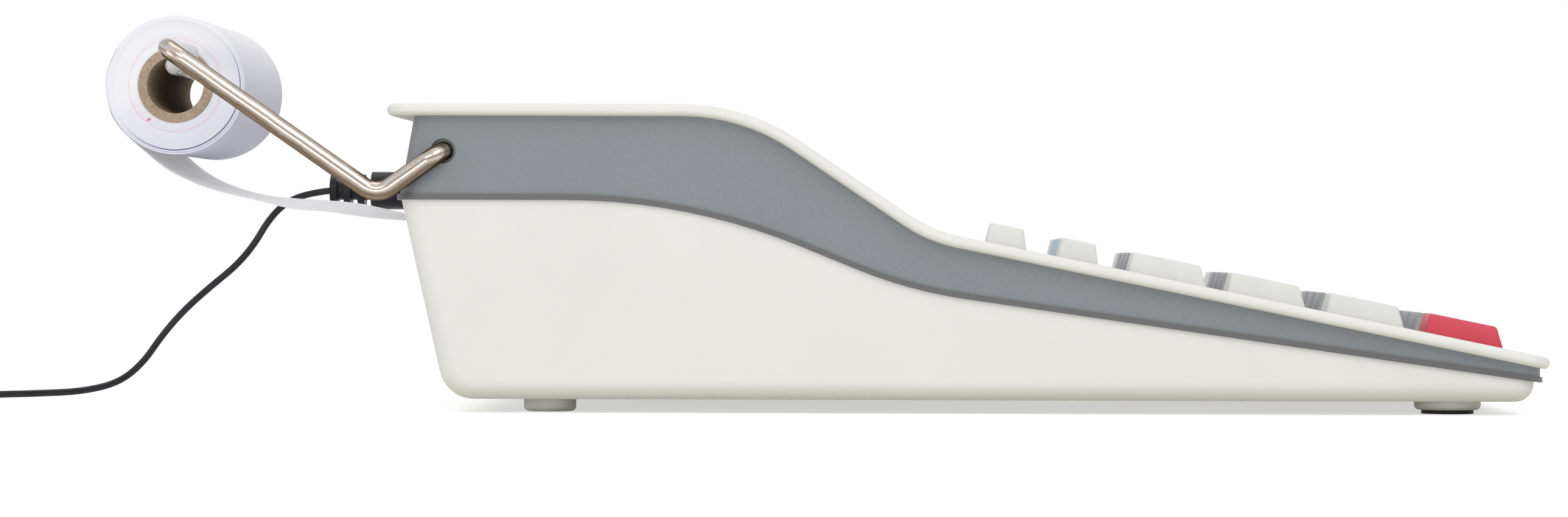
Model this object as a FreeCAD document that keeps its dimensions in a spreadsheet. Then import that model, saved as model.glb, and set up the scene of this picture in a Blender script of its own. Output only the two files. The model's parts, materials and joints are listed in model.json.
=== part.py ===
import FreeCAD, Part
import math
import os
import Sketcher
from FreeCAD import Placement, Rotation, Vector

# Printing desk calculator. Millimetres, X to the user's right, Y to the rear, Z up, standing on Z = 0.

SIZES = {
    # Upper cover: a plate that runs flat at the rear, down the display slope and along the key slope
    "cover_width": 146.0,
    "cover_thick": 2.5,
    "cover_rear": 88.0,
    "cover_front": -154.2,
    "flat_top": 64.1,
    "crest_back": 13.3,
    "knee_back": -25.4,
    "display_slope": 33.9,
    "key_slope": 11.48,
    "crest_round": 43.0,
    "knee_round": 28.0,
    "cover_corner": 5.8,
    "cover_edge": 1.2,
    # Middle band and the seam where it meets the lower case
    "band_width": 140.4,
    "band_rear_top": 82.5,
    "band_front": -152.1,
    "seam_rear": 85.6,
    "seam_top": 44.2,
    "seam_crest": 25.2,
    "seam_knee": -20.7,
    "seam_steep": 22.1,
    "seam_slope": 8.1,
    "seam_crest_round": 130.0,
    "seam_knee_round": 96.0,
    "bead_tall": 1.2,
    "bead_proud": 0.45,
    # Lower case
    "case_width": 140.0,
    "case_rear_top": 85.1,
    "case_rear_bottom": 75.8,
    "case_front": -150.8,
    "case_bottom": 2.8,
    "case_heel": 7.2,
    "case_toe": 3.9,
    "case_corner": 4.0,
    "wall": 2.2,
    "rear_wall": 2.6,
    # Feet
    "foot_side": 55.0,
    "rear_foot_back": 55.0,
    "rear_foot_size": 11.0,
    "foot_round": 1.0,
    "front_foot_back": -134.1,
    "front_foot_size": 14.0,
    "pad_size": 11.0,
    "pad_thick": 0.8,
    # Screws that hold the cover, the band and the case together
    "screw_side": 60.0,
    "screw_rear": 60.0,
    "screw_front": -118.0,
    "screw_shank": 2.9,
    "screw_length": 10.0,
    "screw_head": 5.4,
    "screw_head_tall": 1.6,
    "screw_recess": 2.0,
    "screw_room": 0.3,
    "boss_size": 7.0,
    "boss_top": 9.0,
    # Keys
    "key_wide": 15.0,
    "key_long": 17.0,
    "key_short": 8.9,
    "key_small": 7.0,
    "key_rise": 4.35,
    "key_draw_side": 1.0,
    "key_draw_back": 0.25,
    "key_draw_front": 2.2,
    "key_draw_short": 1.4,
    "key_round": 0.5,
    "key_gap": 0.35,
    "key_flange": 1.0,
    "flange_thick": 1.1,
    "flange_gap": 0.3,
    "key_travel": 2.2,
    "column_one": -39.0,
    "column_two": -15.5,
    "column_pitch": 18.2,
    "row_one": 16.0,
    "row_small": 16.7,
    "row_two": 31.6,
    "row_three": 51.1,
    "row_pitch": 21.5,
    # Keyboard under the keys
    "mat_room": 0.4,
    "mat_thick": 0.6,
    "keyboard_thick": 1.2,
    "keyboard_wide": 114.0,
    "mat_wide": 98.0,
    "keyboard_rear": 8.0,
    "keyboard_front": 121.0,
    "keyboard_post": 5.0,
    "keyboard_post_side": 53.0,
    # Display
    "window_wide": 96.0,
    "window_long": 20.0,
    "window_place": 27.0,
    "window_sunk": 0.3,
    "window_gap": 0.2,
    "window_lip": 2.0,
    "window_lip_thick": 1.0,
    "panel_thick": 3.5,
    # Main board
    "board_wide": 100.0,
    "board_rear": 18.0,
    "board_front": -42.0,
    "board_height": 14.0,
    "board_thick": 1.6,
    "board_post": 6.0,
    "ribbon_wide": 20.0,
    "ribbon_thick": 0.5,
    "ribbon_gap": 0.25,
    # Printer
    "printer_wide": 73.6,
    "printer_plate": 1.6,
    "printer_rear": 74.0,
    "printer_front": 36.0,
    "printer_floor": 14.0,
    "printer_top": 56.0,
    "platen_back": 60.0,
    "platen_height": 45.0,
    "platen_size": 14.0,
    "platen_long": 62.0,
    "shaft_size": 4.0,
    "run_gap": 0.05,
    "gear_module": 0.8,
    "gear_thick": 4.0,
    "gear_teeth": 30,
    "pinion_teeth": 14,
    "gear_backlash": 0.12,
    "gear_offset": 2.0,
    "motor_back": 52.0,
    "motor_size": 16.0,
    "motor_long": 30.0,
    "motor_shaft": 2.0,
    "motor_shaft_room": 1.0,
    "motor_end_room": 0.3,
    "rod_back": 44.0,
    "rod_height": 45.0,
    "carriage_wide": 14.0,
    "carriage_deep": 12.0,
    "carriage_tall": 10.0,
    "carriage_park": 6.2,
    "ink_size": 7.6,
    "ink_pin": 2.0,
    "ink_height": 54.5,
    "ink_room": 0.3,
    "cheek_thick": 2.0,
    # Printer lid, paper outlet and tear bar
    "bay_wide": 76.0,
    "bay_front": 30.2,
    "bay_rear": 61.0,
    "lid_rear": 56.0,
    "lid_gap": 0.3,
    "lid_thick": 2.3,
    "lid_pin": 1.2,
    "lid_pin_long": 2.0,
    "ledge_reach": 3.0,
    "ledge_thick": 1.5,
    "ledge_long": 6.0,
    "bar_thick": 1.6,
    "bar_tall": 3.0,
    # Paper roll, strip and inlet slot
    "roll_wide": 57.0,
    "roll_size": 30.0,
    "core_size": 16.2,
    "core_bore": 12.3,
    "roll_back": 138.7,
    "roll_height": 69.4,
    "strip_thick": 0.3,
    "strip_gap": 0.3,
    "strip_leave": 45.0,
    "strip_dip": 15.3,
    "strip_end": 62.0,
    "slot_height": 40.2,
    "slot_tall": 3.4,
    "slot_side_room": 1.5,
    # Wire paper holder
    "wire_size": 3.9,
    "wire_bend": 4.6,
    "pivot_bend": 3.6,
    "pivot_back": 76.1,
    "pivot_height": 54.3,
    "pivot_dish": 5.2,
    "pivot_dish_deep": 1.2,
    "pivot_boss": 9.0,
    "pivot_boss_long": 20.0,
    "arm_gap": 0.6,
    "elbow_back": 89.4,
    "elbow_height": 44.9,
    "arm_top_back": 133.6,
    "arm_top_height": 75.7,
    "axle_gap": 0.1,
    "axle_room": 2.0,
    "joggle_long": 9.0,
    # Power inlet, plug, cord and adapter
    "jack_room": 2.2,
    "jack_height": 47.8,
    "jack_wide": 10.0,
    "jack_deep": 12.0,
    "jack_face": 81.6,
    "jack_hole": 9.6,
    "plug_size": 8.8,
    "plug_gap": 0.3,
    "plug_body_end": 105.6,
    "plug_end": 115.2,
    "plug_tail": 7.6,
    "plug_slots": 3,
    "plug_slot_deep": 1.6,
    "barrel_size": 5.5,
    "barrel_long": 9.0,
    "cord_size": 1.6,
    "coil_out": 16.0,
    "coil_room": 0.5,
    "coil_turns": 4,
    "coil_layers": 4,
    "adapter_wide": 42.0,
    "adapter_deep": 56.0,
    "adapter_tall": 30.0,
    "adapter_round": 3.0,
    "prong_long": 16.0,
    "prong_wide": 6.3,
    "prong_thick": 1.5,
    "prong_apart": 12.7,
    "prong_root": 0.3,
}

# Routes of the free cord, point by point: from the plug to the coil, measured across from the plug's middle,
# and from the coil's end to the adapter
RUN_ROUTE = [
    (0.0, 121.3, 47.1), (-0.2, 126.7, 44.4), (-0.4, 130.3, 40.2), (-0.6, 133.0, 35.4), (-1.1, 137.2, 30.2),
    (-1.8, 143.5, 25.0), (-2.6, 149.6, 19.4), (-3.4, 154.4, 13.6), (-4.8, 158.4, 7.4), (-8.0, 163.4, 2.9),
    (-14.0, 170.6, 1.05), (-22.0, 178.9, 0.8), (-32.0, 187.6, 0.8), (-44.0, 197.5, 0.8), (-55.0, 207.5, 0.8),
    (-60.5, 219.5, 0.8), (-60.5, 231.0, 0.8),
]
LEAD_DROP = [(0.0, 9.0, 0.0), (1.5, 19.0, -0.8), (6.0, 29.0, -3.1), (14.0, 37.0, -5.4), (25.0, 41.5, -6.3)]
LEAD_END = [(37.0, 42.0, -6.3), (49.0, 42.0, -4.6), (60.0, 42.0, -1.8), (71.0, 42.0, 0.2)]

# Tooth flank from root to tip: height over the pitch circle in modules, half width as a share of the pitch
TOOTH_FLANK = [(-1.2, 0.36), (0.0, 0.25), (0.95, 0.13)]

# How close two points lie to count as one, and how far a cutter stands out of what it cuts
NEAR = 0.01
CUT_OVER = 1.0

# Share of a run that its rounded corner may take
CORNER_SHARE = 0.45


class Size:
    """A number together with the sheet expression that gives it."""

    def __init__(self, value, text):
        self.value = float(value)
        self.text = text

    def __add__(self, other):
        other = as_size(other)
        return Size(self.value + other.value, f"({self.text} + {other.text})")

    def __radd__(self, other):
        return as_size(other) + self

    def __sub__(self, other):
        other = as_size(other)
        return Size(self.value - other.value, f"({self.text} - {other.text})")

    def __rsub__(self, other):
        return as_size(other) - self

    def __mul__(self, other):
        other = as_size(other)
        return Size(self.value * other.value, f"({self.text} * {other.text})")

    def __rmul__(self, other):
        return as_size(other) * self

    def __truediv__(self, other):
        other = as_size(other)
        return Size(self.value / other.value, f"({self.text} / {other.text})")

    def __neg__(self):
        return as_size(0) - self


def as_size(number):
    return number if isinstance(number, Size) else Size(number, f"{number:g}")


def sine(angle):
    return Size(math.sin(math.radians(angle.value)), f"sin({angle.text})")


def cosine(angle):
    return Size(math.cos(math.radians(angle.value)), f"cos({angle.text})")


def tangent(angle):
    return Size(math.tan(math.radians(angle.value)), f"tan({angle.text})")


class Sheet:
    """The driving dimensions, one spreadsheet cell each."""

    def __init__(self, doc, sizes):
        self.sheet = doc.addObject("Spreadsheet::Sheet", "Sizes")
        for row, (name, value) in enumerate(sizes.items(), start=1):
            self.sheet.set(f"A{row}", name)
            self.sheet.set(f"B{row}", f"{value:g}")
            self.sheet.setAlias(f"B{row}", name)
        doc.recompute()

    def __getattr__(self, name):
        return Size(self.sheet.get(name), f"Sizes.{name}")


class Slope:
    """A tilted plane across the machine: u runs down it to the front, n stands off it."""

    def __init__(self, back, height, tilt):
        self.back = back
        self.height = height
        self.tilt = tilt

    def at(self, u, n):
        u = as_size(u)
        n = as_size(n)
        back = self.back - u * cosine(self.tilt) - n * sine(self.tilt)
        height = self.height - u * sine(self.tilt) + n * cosine(self.tilt)
        return back, height


doc = FreeCAD.newDocument("calculator")
d = Sheet(doc, SIZES)
parts = []


def keep(obj, label):
    """Give a finished sub-part its name and list it for writing."""
    obj.Label = label
    parts.append(obj)
    return obj


def bind(obj, **sizes):
    for name, size in sizes.items():
        obj.setExpression(name, as_size(size).text)


def place(obj, x, y, z, axis=None, angle=0):
    """Put an object at a point, turned about an axis."""
    if axis is not None:
        obj.Placement = Placement(Vector(), Rotation(axis, as_size(angle).value))
        obj.setExpression("Placement.Rotation.Angle", as_size(angle).text)
    for letter, size in zip("xyz", (x, y, z)):
        obj.setExpression(f"Placement.Base.{letter}", as_size(size).text)


def box(x, y, z, length, width, height):
    obj = doc.addObject("Part::Box", "Box")
    bind(obj, Length=length, Width=width, Height=height)
    place(obj, x, y, z)
    return obj


def slope_box(slope, x, u_front, n_low, length, width, height):
    """A box that lies on a slope; width runs up the slope from u_front."""
    obj = doc.addObject("Part::Box", "SlopeBox")
    bind(obj, Length=length, Width=width, Height=height)
    back, up = slope.at(u_front, n_low)
    place(obj, x, back, up, Vector(1, 0, 0), slope.tilt)
    return obj


def rod(axis, x, y, z, diameter, length):
    """A cylinder from a point along X, Y or Z."""
    obj = doc.addObject("Part::Cylinder", "Rod")
    bind(obj, Radius=diameter / 2, Height=length)
    turn = {"X": (Vector(0, 1, 0), 90), "Y": (Vector(-1, 0, 0), 90), "Z": (None, 0)}[axis]
    place(obj, x, y, z, *turn)
    return obj


def slope_rod(slope, x, u, n_low, diameter, length):
    obj = doc.addObject("Part::Cylinder", "SlopeRod")
    bind(obj, Radius=diameter / 2, Height=length)
    back, up = slope.at(u, n_low)
    place(obj, x, back, up, Vector(1, 0, 0), slope.tilt)
    return obj


def fuse(*shapes):
    obj = doc.addObject("Part::MultiFuse", "Joined")
    obj.Shapes = list(shapes)
    obj.Refine = True
    return obj


def group(*shapes):
    obj = doc.addObject("Part::Compound", "Group")
    obj.Links = list(shapes)
    return obj


def cut(base, *tools):
    obj = doc.addObject("Part::Cut", "Cut")
    obj.Base = base
    obj.Tool = tools[0] if len(tools) == 1 else fuse(*tools)
    return obj


def side_outline(body, corners, width):
    """Pad a closed outline, given as (back, height) corners, evenly to both sides of the middle plane."""
    plane = [f for f in body.Origin.OriginFeatures if f.Role == "YZ_Plane"][0]
    sketch = body.newObject("Sketcher::SketchObject", "Outline")
    sketch.AttachmentSupport = [(plane, "")]
    sketch.MapMode = "FlatFace"
    count = len(corners)
    points = [Vector(back.value, height.value, 0) for back, height in corners]
    for i in range(count):
        sketch.addGeometry(Part.LineSegment(points[i], points[(i + 1) % count]))
    for i in range(count):
        sketch.addConstraint(Sketcher.Constraint("Coincident", i, 2, (i + 1) % count, 1))
    for i, (back, height) in enumerate(corners):
        across = sketch.addConstraint(Sketcher.Constraint("DistanceX", i, 1, back.value))
        sketch.setExpression(f"Constraints[{across}]", back.text)
        up = sketch.addConstraint(Sketcher.Constraint("DistanceY", i, 1, height.value))
        sketch.setExpression(f"Constraints[{up}]", height.text)
    pad = body.newObject("PartDesign::Pad", "Pad")
    pad.Profile = sketch
    pad.Midplane = True
    bind(pad, Length=width)


def round_corners(body, fillets):
    """Round corners of an outline, given as ((back, height), radius), across the whole width."""
    for corner, radius in fillets:
        round_edges(body, radius, cross_edge(*corner))


def cross_edge(back, height):
    """Picks the edges that run across the machine through one corner of an outline."""

    def wanted(edge):
        ends = [v.Point for v in edge.Vertexes]
        return len(ends) == 2 and all(
            abs(p.y - back.value) < NEAR and abs(p.z - height.value) < NEAR for p in ends
        )

    return wanted


def round_edges(body, radius, wanted):
    """Round those edges of a body's last feature that a test picks."""
    doc.recompute()
    base = body.Tip
    names = [f"Edge{i}" for i, edge in enumerate(base.Shape.Edges, start=1) if wanted(edge)]
    fillet = body.newObject("PartDesign::Fillet", "Round")
    fillet.Base = (base, names)
    bind(fillet, Radius=radius)
    return fillet


def new_body(name):
    return doc.addObject("PartDesign::Body", name)


# Shared lines of the three shells
display = Slope(d.crest_back, d.flat_top, d.display_slope)
knee_top = d.flat_top - (d.crest_back - d.knee_back) * tangent(d.display_slope)
keyboard = Slope(d.knee_back, knee_top, d.key_slope)
cover_half = d.cover_width / 2
inner_half = d.case_width / 2 - d.wall
cover_front_top = knee_top - (d.knee_back - d.cover_front) * tangent(d.key_slope)
front_reach = (d.knee_back - d.cover_front) / cosine(d.key_slope)
bend_mean = (d.display_slope + d.key_slope) / 2
bend_half = (d.display_slope - d.key_slope) / 2
under_flat = d.flat_top - d.cover_thick
under_crest = d.crest_back + d.cover_thick * tangent(d.display_slope / 2)
under_knee = (
    d.knee_back + d.cover_thick * sine(bend_mean) / cosine(bend_half),
    knee_top - d.cover_thick * cosine(bend_mean) / cosine(bend_half),
)
seam_knee_top = d.seam_top - (d.seam_crest - d.seam_knee) * tangent(d.seam_steep)
gear_start = d.printer_wide / 2 + d.gear_offset
jack_side = gear_start + d.gear_thick + d.jack_room + d.jack_wide / 2


def seam_at(back):
    return seam_knee_top - (d.seam_knee - back) * tangent(d.seam_slope)


def under_cover_at(back):
    return under_knee[1] - (under_knee[0] - back) * tangent(d.key_slope)


screw_spots = [
    (side * d.screw_side, back, under)
    for side in (-1, 1)
    for back, under in ((d.screw_rear, under_flat), (d.screw_front, under_cover_at(d.screw_front)))
]

# Key layout: column centres across, row centres down the key slope
columns = [d.column_one] + [d.column_two + d.column_pitch * i for i in range(4)]
rows = [d.row_one, d.row_two] + [d.row_three + d.row_pitch * i for i in range(4)]
SMALL_ROWS = 2
KEY_NAMES = [
    ["key_print", "key_rate", "key_item", "key_round_off", "key_feed"],
    ["key_tax", "key_grand_total", "key_mark_up", "key_sign", "key_back"],
    ["key_percent", "key_7", "key_8", "key_9", "key_divide"],
    ["key_memory_total", "key_4", "key_5", "key_6", "key_multiply"],
    ["key_memory_plus", "key_1", "key_2", "key_3", "key_plus"],
    ["key_clear", "key_0", "key_00", "key_point", None],
]


def key_spots():
    """Name, column centre, row centre, length along the slope and front draw of every key."""
    for row, names in enumerate(KEY_NAMES):
        for column, name in enumerate(names):
            if name is None:
                continue
            long = d.key_short if row < SMALL_ROWS else d.key_long
            draw = d.key_draw_short if row < SMALL_ROWS else d.key_draw_front
            middle = rows[row]
            if row == 0 and column > 0:
                long = d.key_small
                middle = d.row_small
            if name == "key_plus":
                long = d.key_long + d.row_pitch
                middle = rows[row] + d.row_pitch / 2
            yield name, columns[column], middle, long, draw


def make_lower_case():
    body = new_body("LowerShell")
    rear_top = (d.case_rear_top, d.seam_top)
    heel = (d.case_rear_bottom, d.case_bottom)
    toe = (d.case_front, d.case_bottom)
    crest = (d.seam_crest, d.seam_top)
    knee = (d.seam_knee, seam_knee_top)
    corners = [rear_top, heel, toe, (d.case_front, seam_at(d.case_front)), knee, crest]
    side_outline(body, corners, d.case_width)
    round_edges(body, d.case_heel, cross_edge(*heel))
    round_edges(body, d.case_toe, cross_edge(*toe))
    half = d.case_width.value / 2

    def outer_edge(edge):
        ends = [v.Point for v in edge.Vertexes]
        on_side = all(abs(p.x - half) < NEAR for p in ends) or all(abs(p.x + half) < NEAR for p in ends)
        below_seam = min(p.z for p in ends) < seam_at(d.case_front).value - NEAR
        at_rear = all(p.y > d.case_rear_bottom.value - d.case_heel.value for p in ends)
        return on_side and (below_seam or at_rear)

    round_edges(body, d.case_corner, outer_edge)
    round_edges(body, d.seam_crest_round, cross_edge(*crest))
    round_edges(body, d.seam_knee_round, cross_edge(*knee))
    feet = []
    for side in (-1, 1):
        x = side * d.foot_side
        into_wall = d.wall / 2
        feet.append(make_foot(x, d.rear_foot_back, 0, d.rear_foot_size, d.case_bottom + into_wall))
        tall = d.case_bottom - d.pad_thick + into_wall
        feet.append(make_foot(x, d.front_foot_back, d.pad_thick, d.front_foot_size, tall))
    posts = []
    floor = d.case_bottom + d.wall / 2
    for x, back, _ in screw_spots:
        posts.append(rod("Z", x, back, floor, d.boss_size, d.boss_top - floor))
    for x, back in board_posts():
        posts.append(rod("Z", x, back, floor, d.board_post, d.board_height - floor))
    for side in (-1, 1):
        x = side * (d.printer_wide / 2 - d.board_post / 2) - d.board_post / 2
        deep = d.printer_rear - d.printer_front
        posts.append(box(x, d.printer_front, floor, d.board_post, deep, d.printer_floor - floor))
    holes = []
    for x, back, _ in screw_spots:
        through = d.boss_top - d.case_bottom
        holes.append(rod("Z", x, back, d.case_bottom, d.screw_shank + 2 * d.screw_room, through))
        holes.append(rod("Z", x, back, d.case_bottom, d.screw_head + 2 * d.screw_room, d.screw_recess))
    slot_wide = d.roll_wide + 2 * d.slot_side_room
    slot_low = d.slot_height - d.slot_tall / 2
    slot_front = d.case_rear_bottom - d.wall
    slot_deep = d.case_rear_top - slot_front
    holes.append(box(-slot_wide / 2, slot_front, slot_low, slot_wide, slot_deep, d.slot_tall))
    plug_way = d.case_rear_top - d.jack_face
    holes.append(rod("Y", jack_side, d.jack_face, d.jack_height, d.jack_hole, plug_way))
    hollow = cut(body, inner_space())
    return keep(cut(fuse(hollow, *feet, *posts), group(*holes)), "lower_case")


def make_foot(x, back, low, size, tall):
    """A round moulded foot with a rounded lower rim."""
    foot = new_body("Foot")
    stub = foot.newObject("PartDesign::AdditiveCylinder", "Stub")
    bind(stub, Radius=size / 2, Height=tall)

    def lower_rim(edge):
        return all(abs(v.Point.z) < NEAR for v in edge.Vertexes)

    round_edges(foot, d.foot_round, lower_rim)
    place(foot, x, back, low)
    return foot


def inner_space():
    """The room inside the lower case and the band, open under the cover."""
    body = new_body("InnerSpace")
    floor = d.case_bottom + d.wall
    above = under_flat + d.cover_thick
    front = d.case_front + d.wall
    corners = [
        (d.case_rear_bottom - d.wall, floor),
        (d.seam_rear - d.rear_wall, d.seam_top),
        (d.band_rear_top - d.wall, under_flat),
        (d.band_rear_top - d.wall, above),
        (under_crest, above),
        (under_knee[0], under_knee[1] + d.cover_thick),
        (front, under_cover_at(front) + d.cover_thick),
        (front, floor),
    ]
    side_outline(body, corners, 2 * inner_half)
    round_edges(body, d.case_heel - d.wall, cross_edge(*corners[0]))
    round_edges(body, d.case_toe - d.wall, cross_edge(*corners[-1]))
    return body


def board_posts():
    inset = d.board_post
    for side in (-1, 1):
        for back in (d.board_rear - inset, d.board_front + inset):
            yield side * (d.board_wide / 2 - inset), back


def make_middle_band():
    body = new_body("BandShell")
    seam_low = (d.seam_rear, d.seam_top)
    crest = (under_crest, under_flat)
    seam_crest = (d.seam_crest, d.seam_top)
    seam_knee = (d.seam_knee, seam_knee_top)
    corners = [
        seam_low,
        (d.band_rear_top, under_flat),
        crest,
        under_knee,
        (d.band_front, under_cover_at(d.band_front)),
        (d.band_front, seam_at(d.band_front)),
        seam_knee,
        seam_crest,
    ]
    fillets = [
        (crest, d.crest_round - d.cover_thick),
        (under_knee, d.knee_round + d.cover_thick),
        (seam_crest, d.seam_crest_round),
        (seam_knee, d.seam_knee_round),
    ]
    side_outline(body, corners, d.band_width)
    half = d.band_width.value / 2

    def end_edge(edge):
        ends = [v.Point for v in edge.Vertexes]
        if len(ends) != 2 or any(abs(abs(p.x) - half) > NEAR for p in ends):
            return False
        if ends[0].x * ends[1].x < 0:
            return False
        at_front = all(abs(p.y - d.band_front.value) < NEAR for p in ends)
        at_rear = all(p.y > d.band_rear_top.value - NEAR for p in ends)
        return at_front or at_rear

    round_edges(body, d.case_corner, end_edge)
    round_corners(body, fillets)
    ridge = new_body("Bead")
    ridge_corners = [
        (d.seam_rear + d.bead_proud, d.seam_top),
        (d.seam_rear + d.bead_proud, d.seam_top + d.bead_tall),
        (d.seam_crest, d.seam_top + d.bead_tall),
        (d.seam_knee, seam_knee_top + d.bead_tall),
        (d.band_front - d.bead_proud, seam_at(d.band_front - d.bead_proud) + d.bead_tall),
        (d.band_front - d.bead_proud, seam_at(d.band_front - d.bead_proud)),
        seam_knee,
        seam_crest,
    ]
    ridge_fillets = [
        (ridge_corners[2], d.seam_crest_round),
        (ridge_corners[3], d.seam_knee_round),
        (seam_crest, d.seam_crest_round),
        (seam_knee, d.seam_knee_round),
    ]
    side_outline(ridge, ridge_corners, d.band_width + 2 * d.bead_proud)
    ridge_half = d.band_width.value / 2 + d.bead_proud.value

    def ridge_corner(edge):
        ends = [v.Point for v in edge.Vertexes]
        upright = len(ends) == 2 and abs(ends[0].y - ends[1].y) < NEAR
        outer = all(abs(abs(p.x) - ridge_half) < NEAR for p in ends)
        tall = abs(ends[0].z - ends[-1].z) > NEAR
        return upright and outer and tall

    round_corners(ridge, ridge_fillets)
    round_edges(ridge, d.case_corner + d.bead_proud, ridge_corner)
    hollow = cut(fuse(body, ridge), inner_space())
    outer = d.band_width / 2
    boss_long = d.pivot_boss_long + d.wall / 2
    boss_start = -inner_half - d.wall / 2
    boss = rod("X", boss_start, d.pivot_back, d.pivot_height, d.pivot_boss, boss_long)
    bore_size = d.wire_size + 2 * d.run_gap
    bore_long = outer - inner_half + d.pivot_boss_long
    bores = [
        rod("X", -outer, d.pivot_back, d.pivot_height, bore_size, bore_long),
        rod("X", -outer, d.pivot_back, d.pivot_height, d.pivot_dish, d.pivot_dish_deep),
    ]
    jack_way = d.seam_rear + d.bead_proud - d.jack_face
    bores.append(rod("Y", jack_side, d.jack_face, d.jack_height, d.jack_hole, jack_way))
    return keep(cut(fuse(hollow, boss), group(*bores)), "middle_band")


def make_upper_cover():
    body = new_body("CoverPlate")
    crest = (d.crest_back, d.flat_top)
    knee = (d.knee_back, knee_top)
    corners = [
        (d.cover_rear, d.flat_top),
        crest,
        knee,
        (d.cover_front, cover_front_top),
        keyboard.at(front_reach, -d.cover_thick),
        under_knee,
        (under_crest, under_flat),
        (d.cover_rear, under_flat),
    ]
    fillets = [
        (crest, d.crest_round),
        ((under_crest, under_flat), d.crest_round - d.cover_thick),
        (knee, d.knee_round),
        (under_knee, d.knee_round + d.cover_thick),
    ]
    side_outline(body, corners, d.cover_width)
    round_corners(body, fillets)
    half = cover_half.value

    def corner_edge(edge):
        ends = [v.Point for v in edge.Vertexes]
        if len(ends) != 2 or any(abs(abs(p.x) - half) > NEAR for p in ends):
            return False
        short = ends[0].distanceToPoint(ends[1]) < d.cover_thick.value + NEAR
        at_rear = ends[0].y > d.cover_rear.value - NEAR
        at_front = ends[0].y < d.cover_front.value + d.cover_thick.value
        return short and (at_rear or at_front)

    round_edges(body, d.cover_corner, corner_edge)

    def rim_edge(edge):
        middle = edge.valueAt((edge.FirstParameter + edge.LastParameter) / 2)
        if len(edge.Vertexes) == 2:
            ends = [v.Point for v in edge.Vertexes]
            if ends[0].distanceToPoint(ends[1]) < d.cover_thick.value + NEAR:
                return False
        on_side = abs(middle.x) > half - d.cover_corner.value
        between_ends = d.cover_front.value + d.cover_thick.value < middle.y < d.cover_rear.value - NEAR
        across_end = abs(middle.x) < NEAR and not between_ends
        return on_side or across_end

    round_edges(body, d.cover_edge, rim_edge)
    posts = []
    for x, back, under in screw_spots:
        posts.append(rod("Z", x, back, d.boss_top, d.boss_size, under - d.boss_top + d.cover_thick / 2))
    for x, u in keyboard_posts():
        long = keyboard_n() - d.cover_thick / 2
        posts.append(slope_rod(keyboard, x, u, -keyboard_n(), d.keyboard_post, long))
    for side in (-1, 1):
        wide = 2 * d.ledge_reach
        x = side * d.bay_wide / 2 - wide / 2
        low = under_flat - d.ledge_thick
        posts.append(box(x, d.lid_rear - d.ledge_long, low, wide, d.ledge_long, d.ledge_thick))
    holes = []
    for x, back, _ in screw_spots:
        pilot = d.screw_shank + 2 * d.run_gap
        holes.append(rod("Z", x, back, d.boss_top, pilot, d.screw_length))
    bay_deep = d.bay_rear - d.bay_front
    holes.append(box(-d.bay_wide / 2, d.bay_front, under_flat, d.bay_wide, bay_deep, d.cover_thick))
    pin_long = d.bay_wide + 2 * d.lid_pin_long
    pin_hole = d.lid_pin + 2 * d.run_gap
    holes.append(rod("X", -pin_long / 2, lid_axis()[0], lid_axis()[1], pin_hole, pin_long))
    wide = d.window_wide + 2 * d.window_gap
    long = d.window_long + 2 * d.window_gap
    u_front = d.window_place + long / 2
    low = -d.cover_thick - CUT_OVER
    cut_tall = d.cover_thick + 2 * CUT_OVER
    holes.append(slope_box(display, -wide / 2, u_front, low, wide, long, cut_tall))
    for _, x, u, long, _ in key_spots():
        wide = d.key_wide + 2 * d.key_gap
        deep = long + 2 * d.key_gap
        holes.append(slope_box(keyboard, x - wide / 2, u + deep / 2, low, wide, deep, cut_tall))
    return keep(cut(fuse(body, *posts), group(*holes)), "upper_cover")


def keyboard_n():
    """Depth of the keyboard board's top below the key slope."""
    return d.cover_thick + d.flange_gap + d.flange_thick + d.key_travel + d.mat_room + d.mat_thick


def keyboard_posts():
    for side in (-1, 1):
        for u in (d.keyboard_rear + d.keyboard_post, d.keyboard_front - d.keyboard_post):
            yield side * d.keyboard_post_side, u


def lid_axis():
    radius = d.lid_thick / 2
    return d.bay_front + d.lid_gap + radius, d.flat_top - radius


def make_keys():
    for name, x, u, long, draw in key_spots():
        body = new_body("KeyBody")
        cap = body.newObject("PartDesign::AdditiveWedge", "Cap")
        half_wide = d.key_wide / 2
        half_long = long / 2
        bind(
            cap,
            Xmin=-half_wide,
            Xmax=half_wide,
            Zmin=-half_long,
            Zmax=half_long,
            X2min=-half_wide + d.key_draw_side,
            X2max=half_wide - d.key_draw_side,
            Z2min=-half_long + d.key_draw_back,
            Z2max=half_long - draw,
            Ymin=0,
            Ymax=d.key_rise,
        )
        cap.Placement = Placement(Vector(), Rotation(Vector(1, 0, 0), 90))
        skirt = body.newObject("PartDesign::AdditiveBox", "Skirt")
        skirt_deep = d.cover_thick + d.flange_gap
        bind(skirt, Length=d.key_wide, Width=long, Height=skirt_deep)
        place(skirt, -half_wide, -half_long, -skirt_deep)
        flange = body.newObject("PartDesign::AdditiveBox", "Flange")
        lip = d.key_flange
        bind(flange, Length=d.key_wide + 2 * lip, Width=long + 2 * lip, Height=d.flange_thick)
        place(flange, -half_wide - lip, -half_long - lip, -skirt_deep - d.flange_thick)
        base = d.key_rise.value / 4

        def cap_edge(edge):
            middle = edge.valueAt((edge.FirstParameter + edge.LastParameter) / 2)
            return middle.z > base

        round_edges(body, d.key_round, cap_edge)
        back, up = keyboard.at(u, 0)
        place(body, x, back, up, Vector(1, 0, 0), keyboard.tilt)
        keep(body, name)


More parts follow.
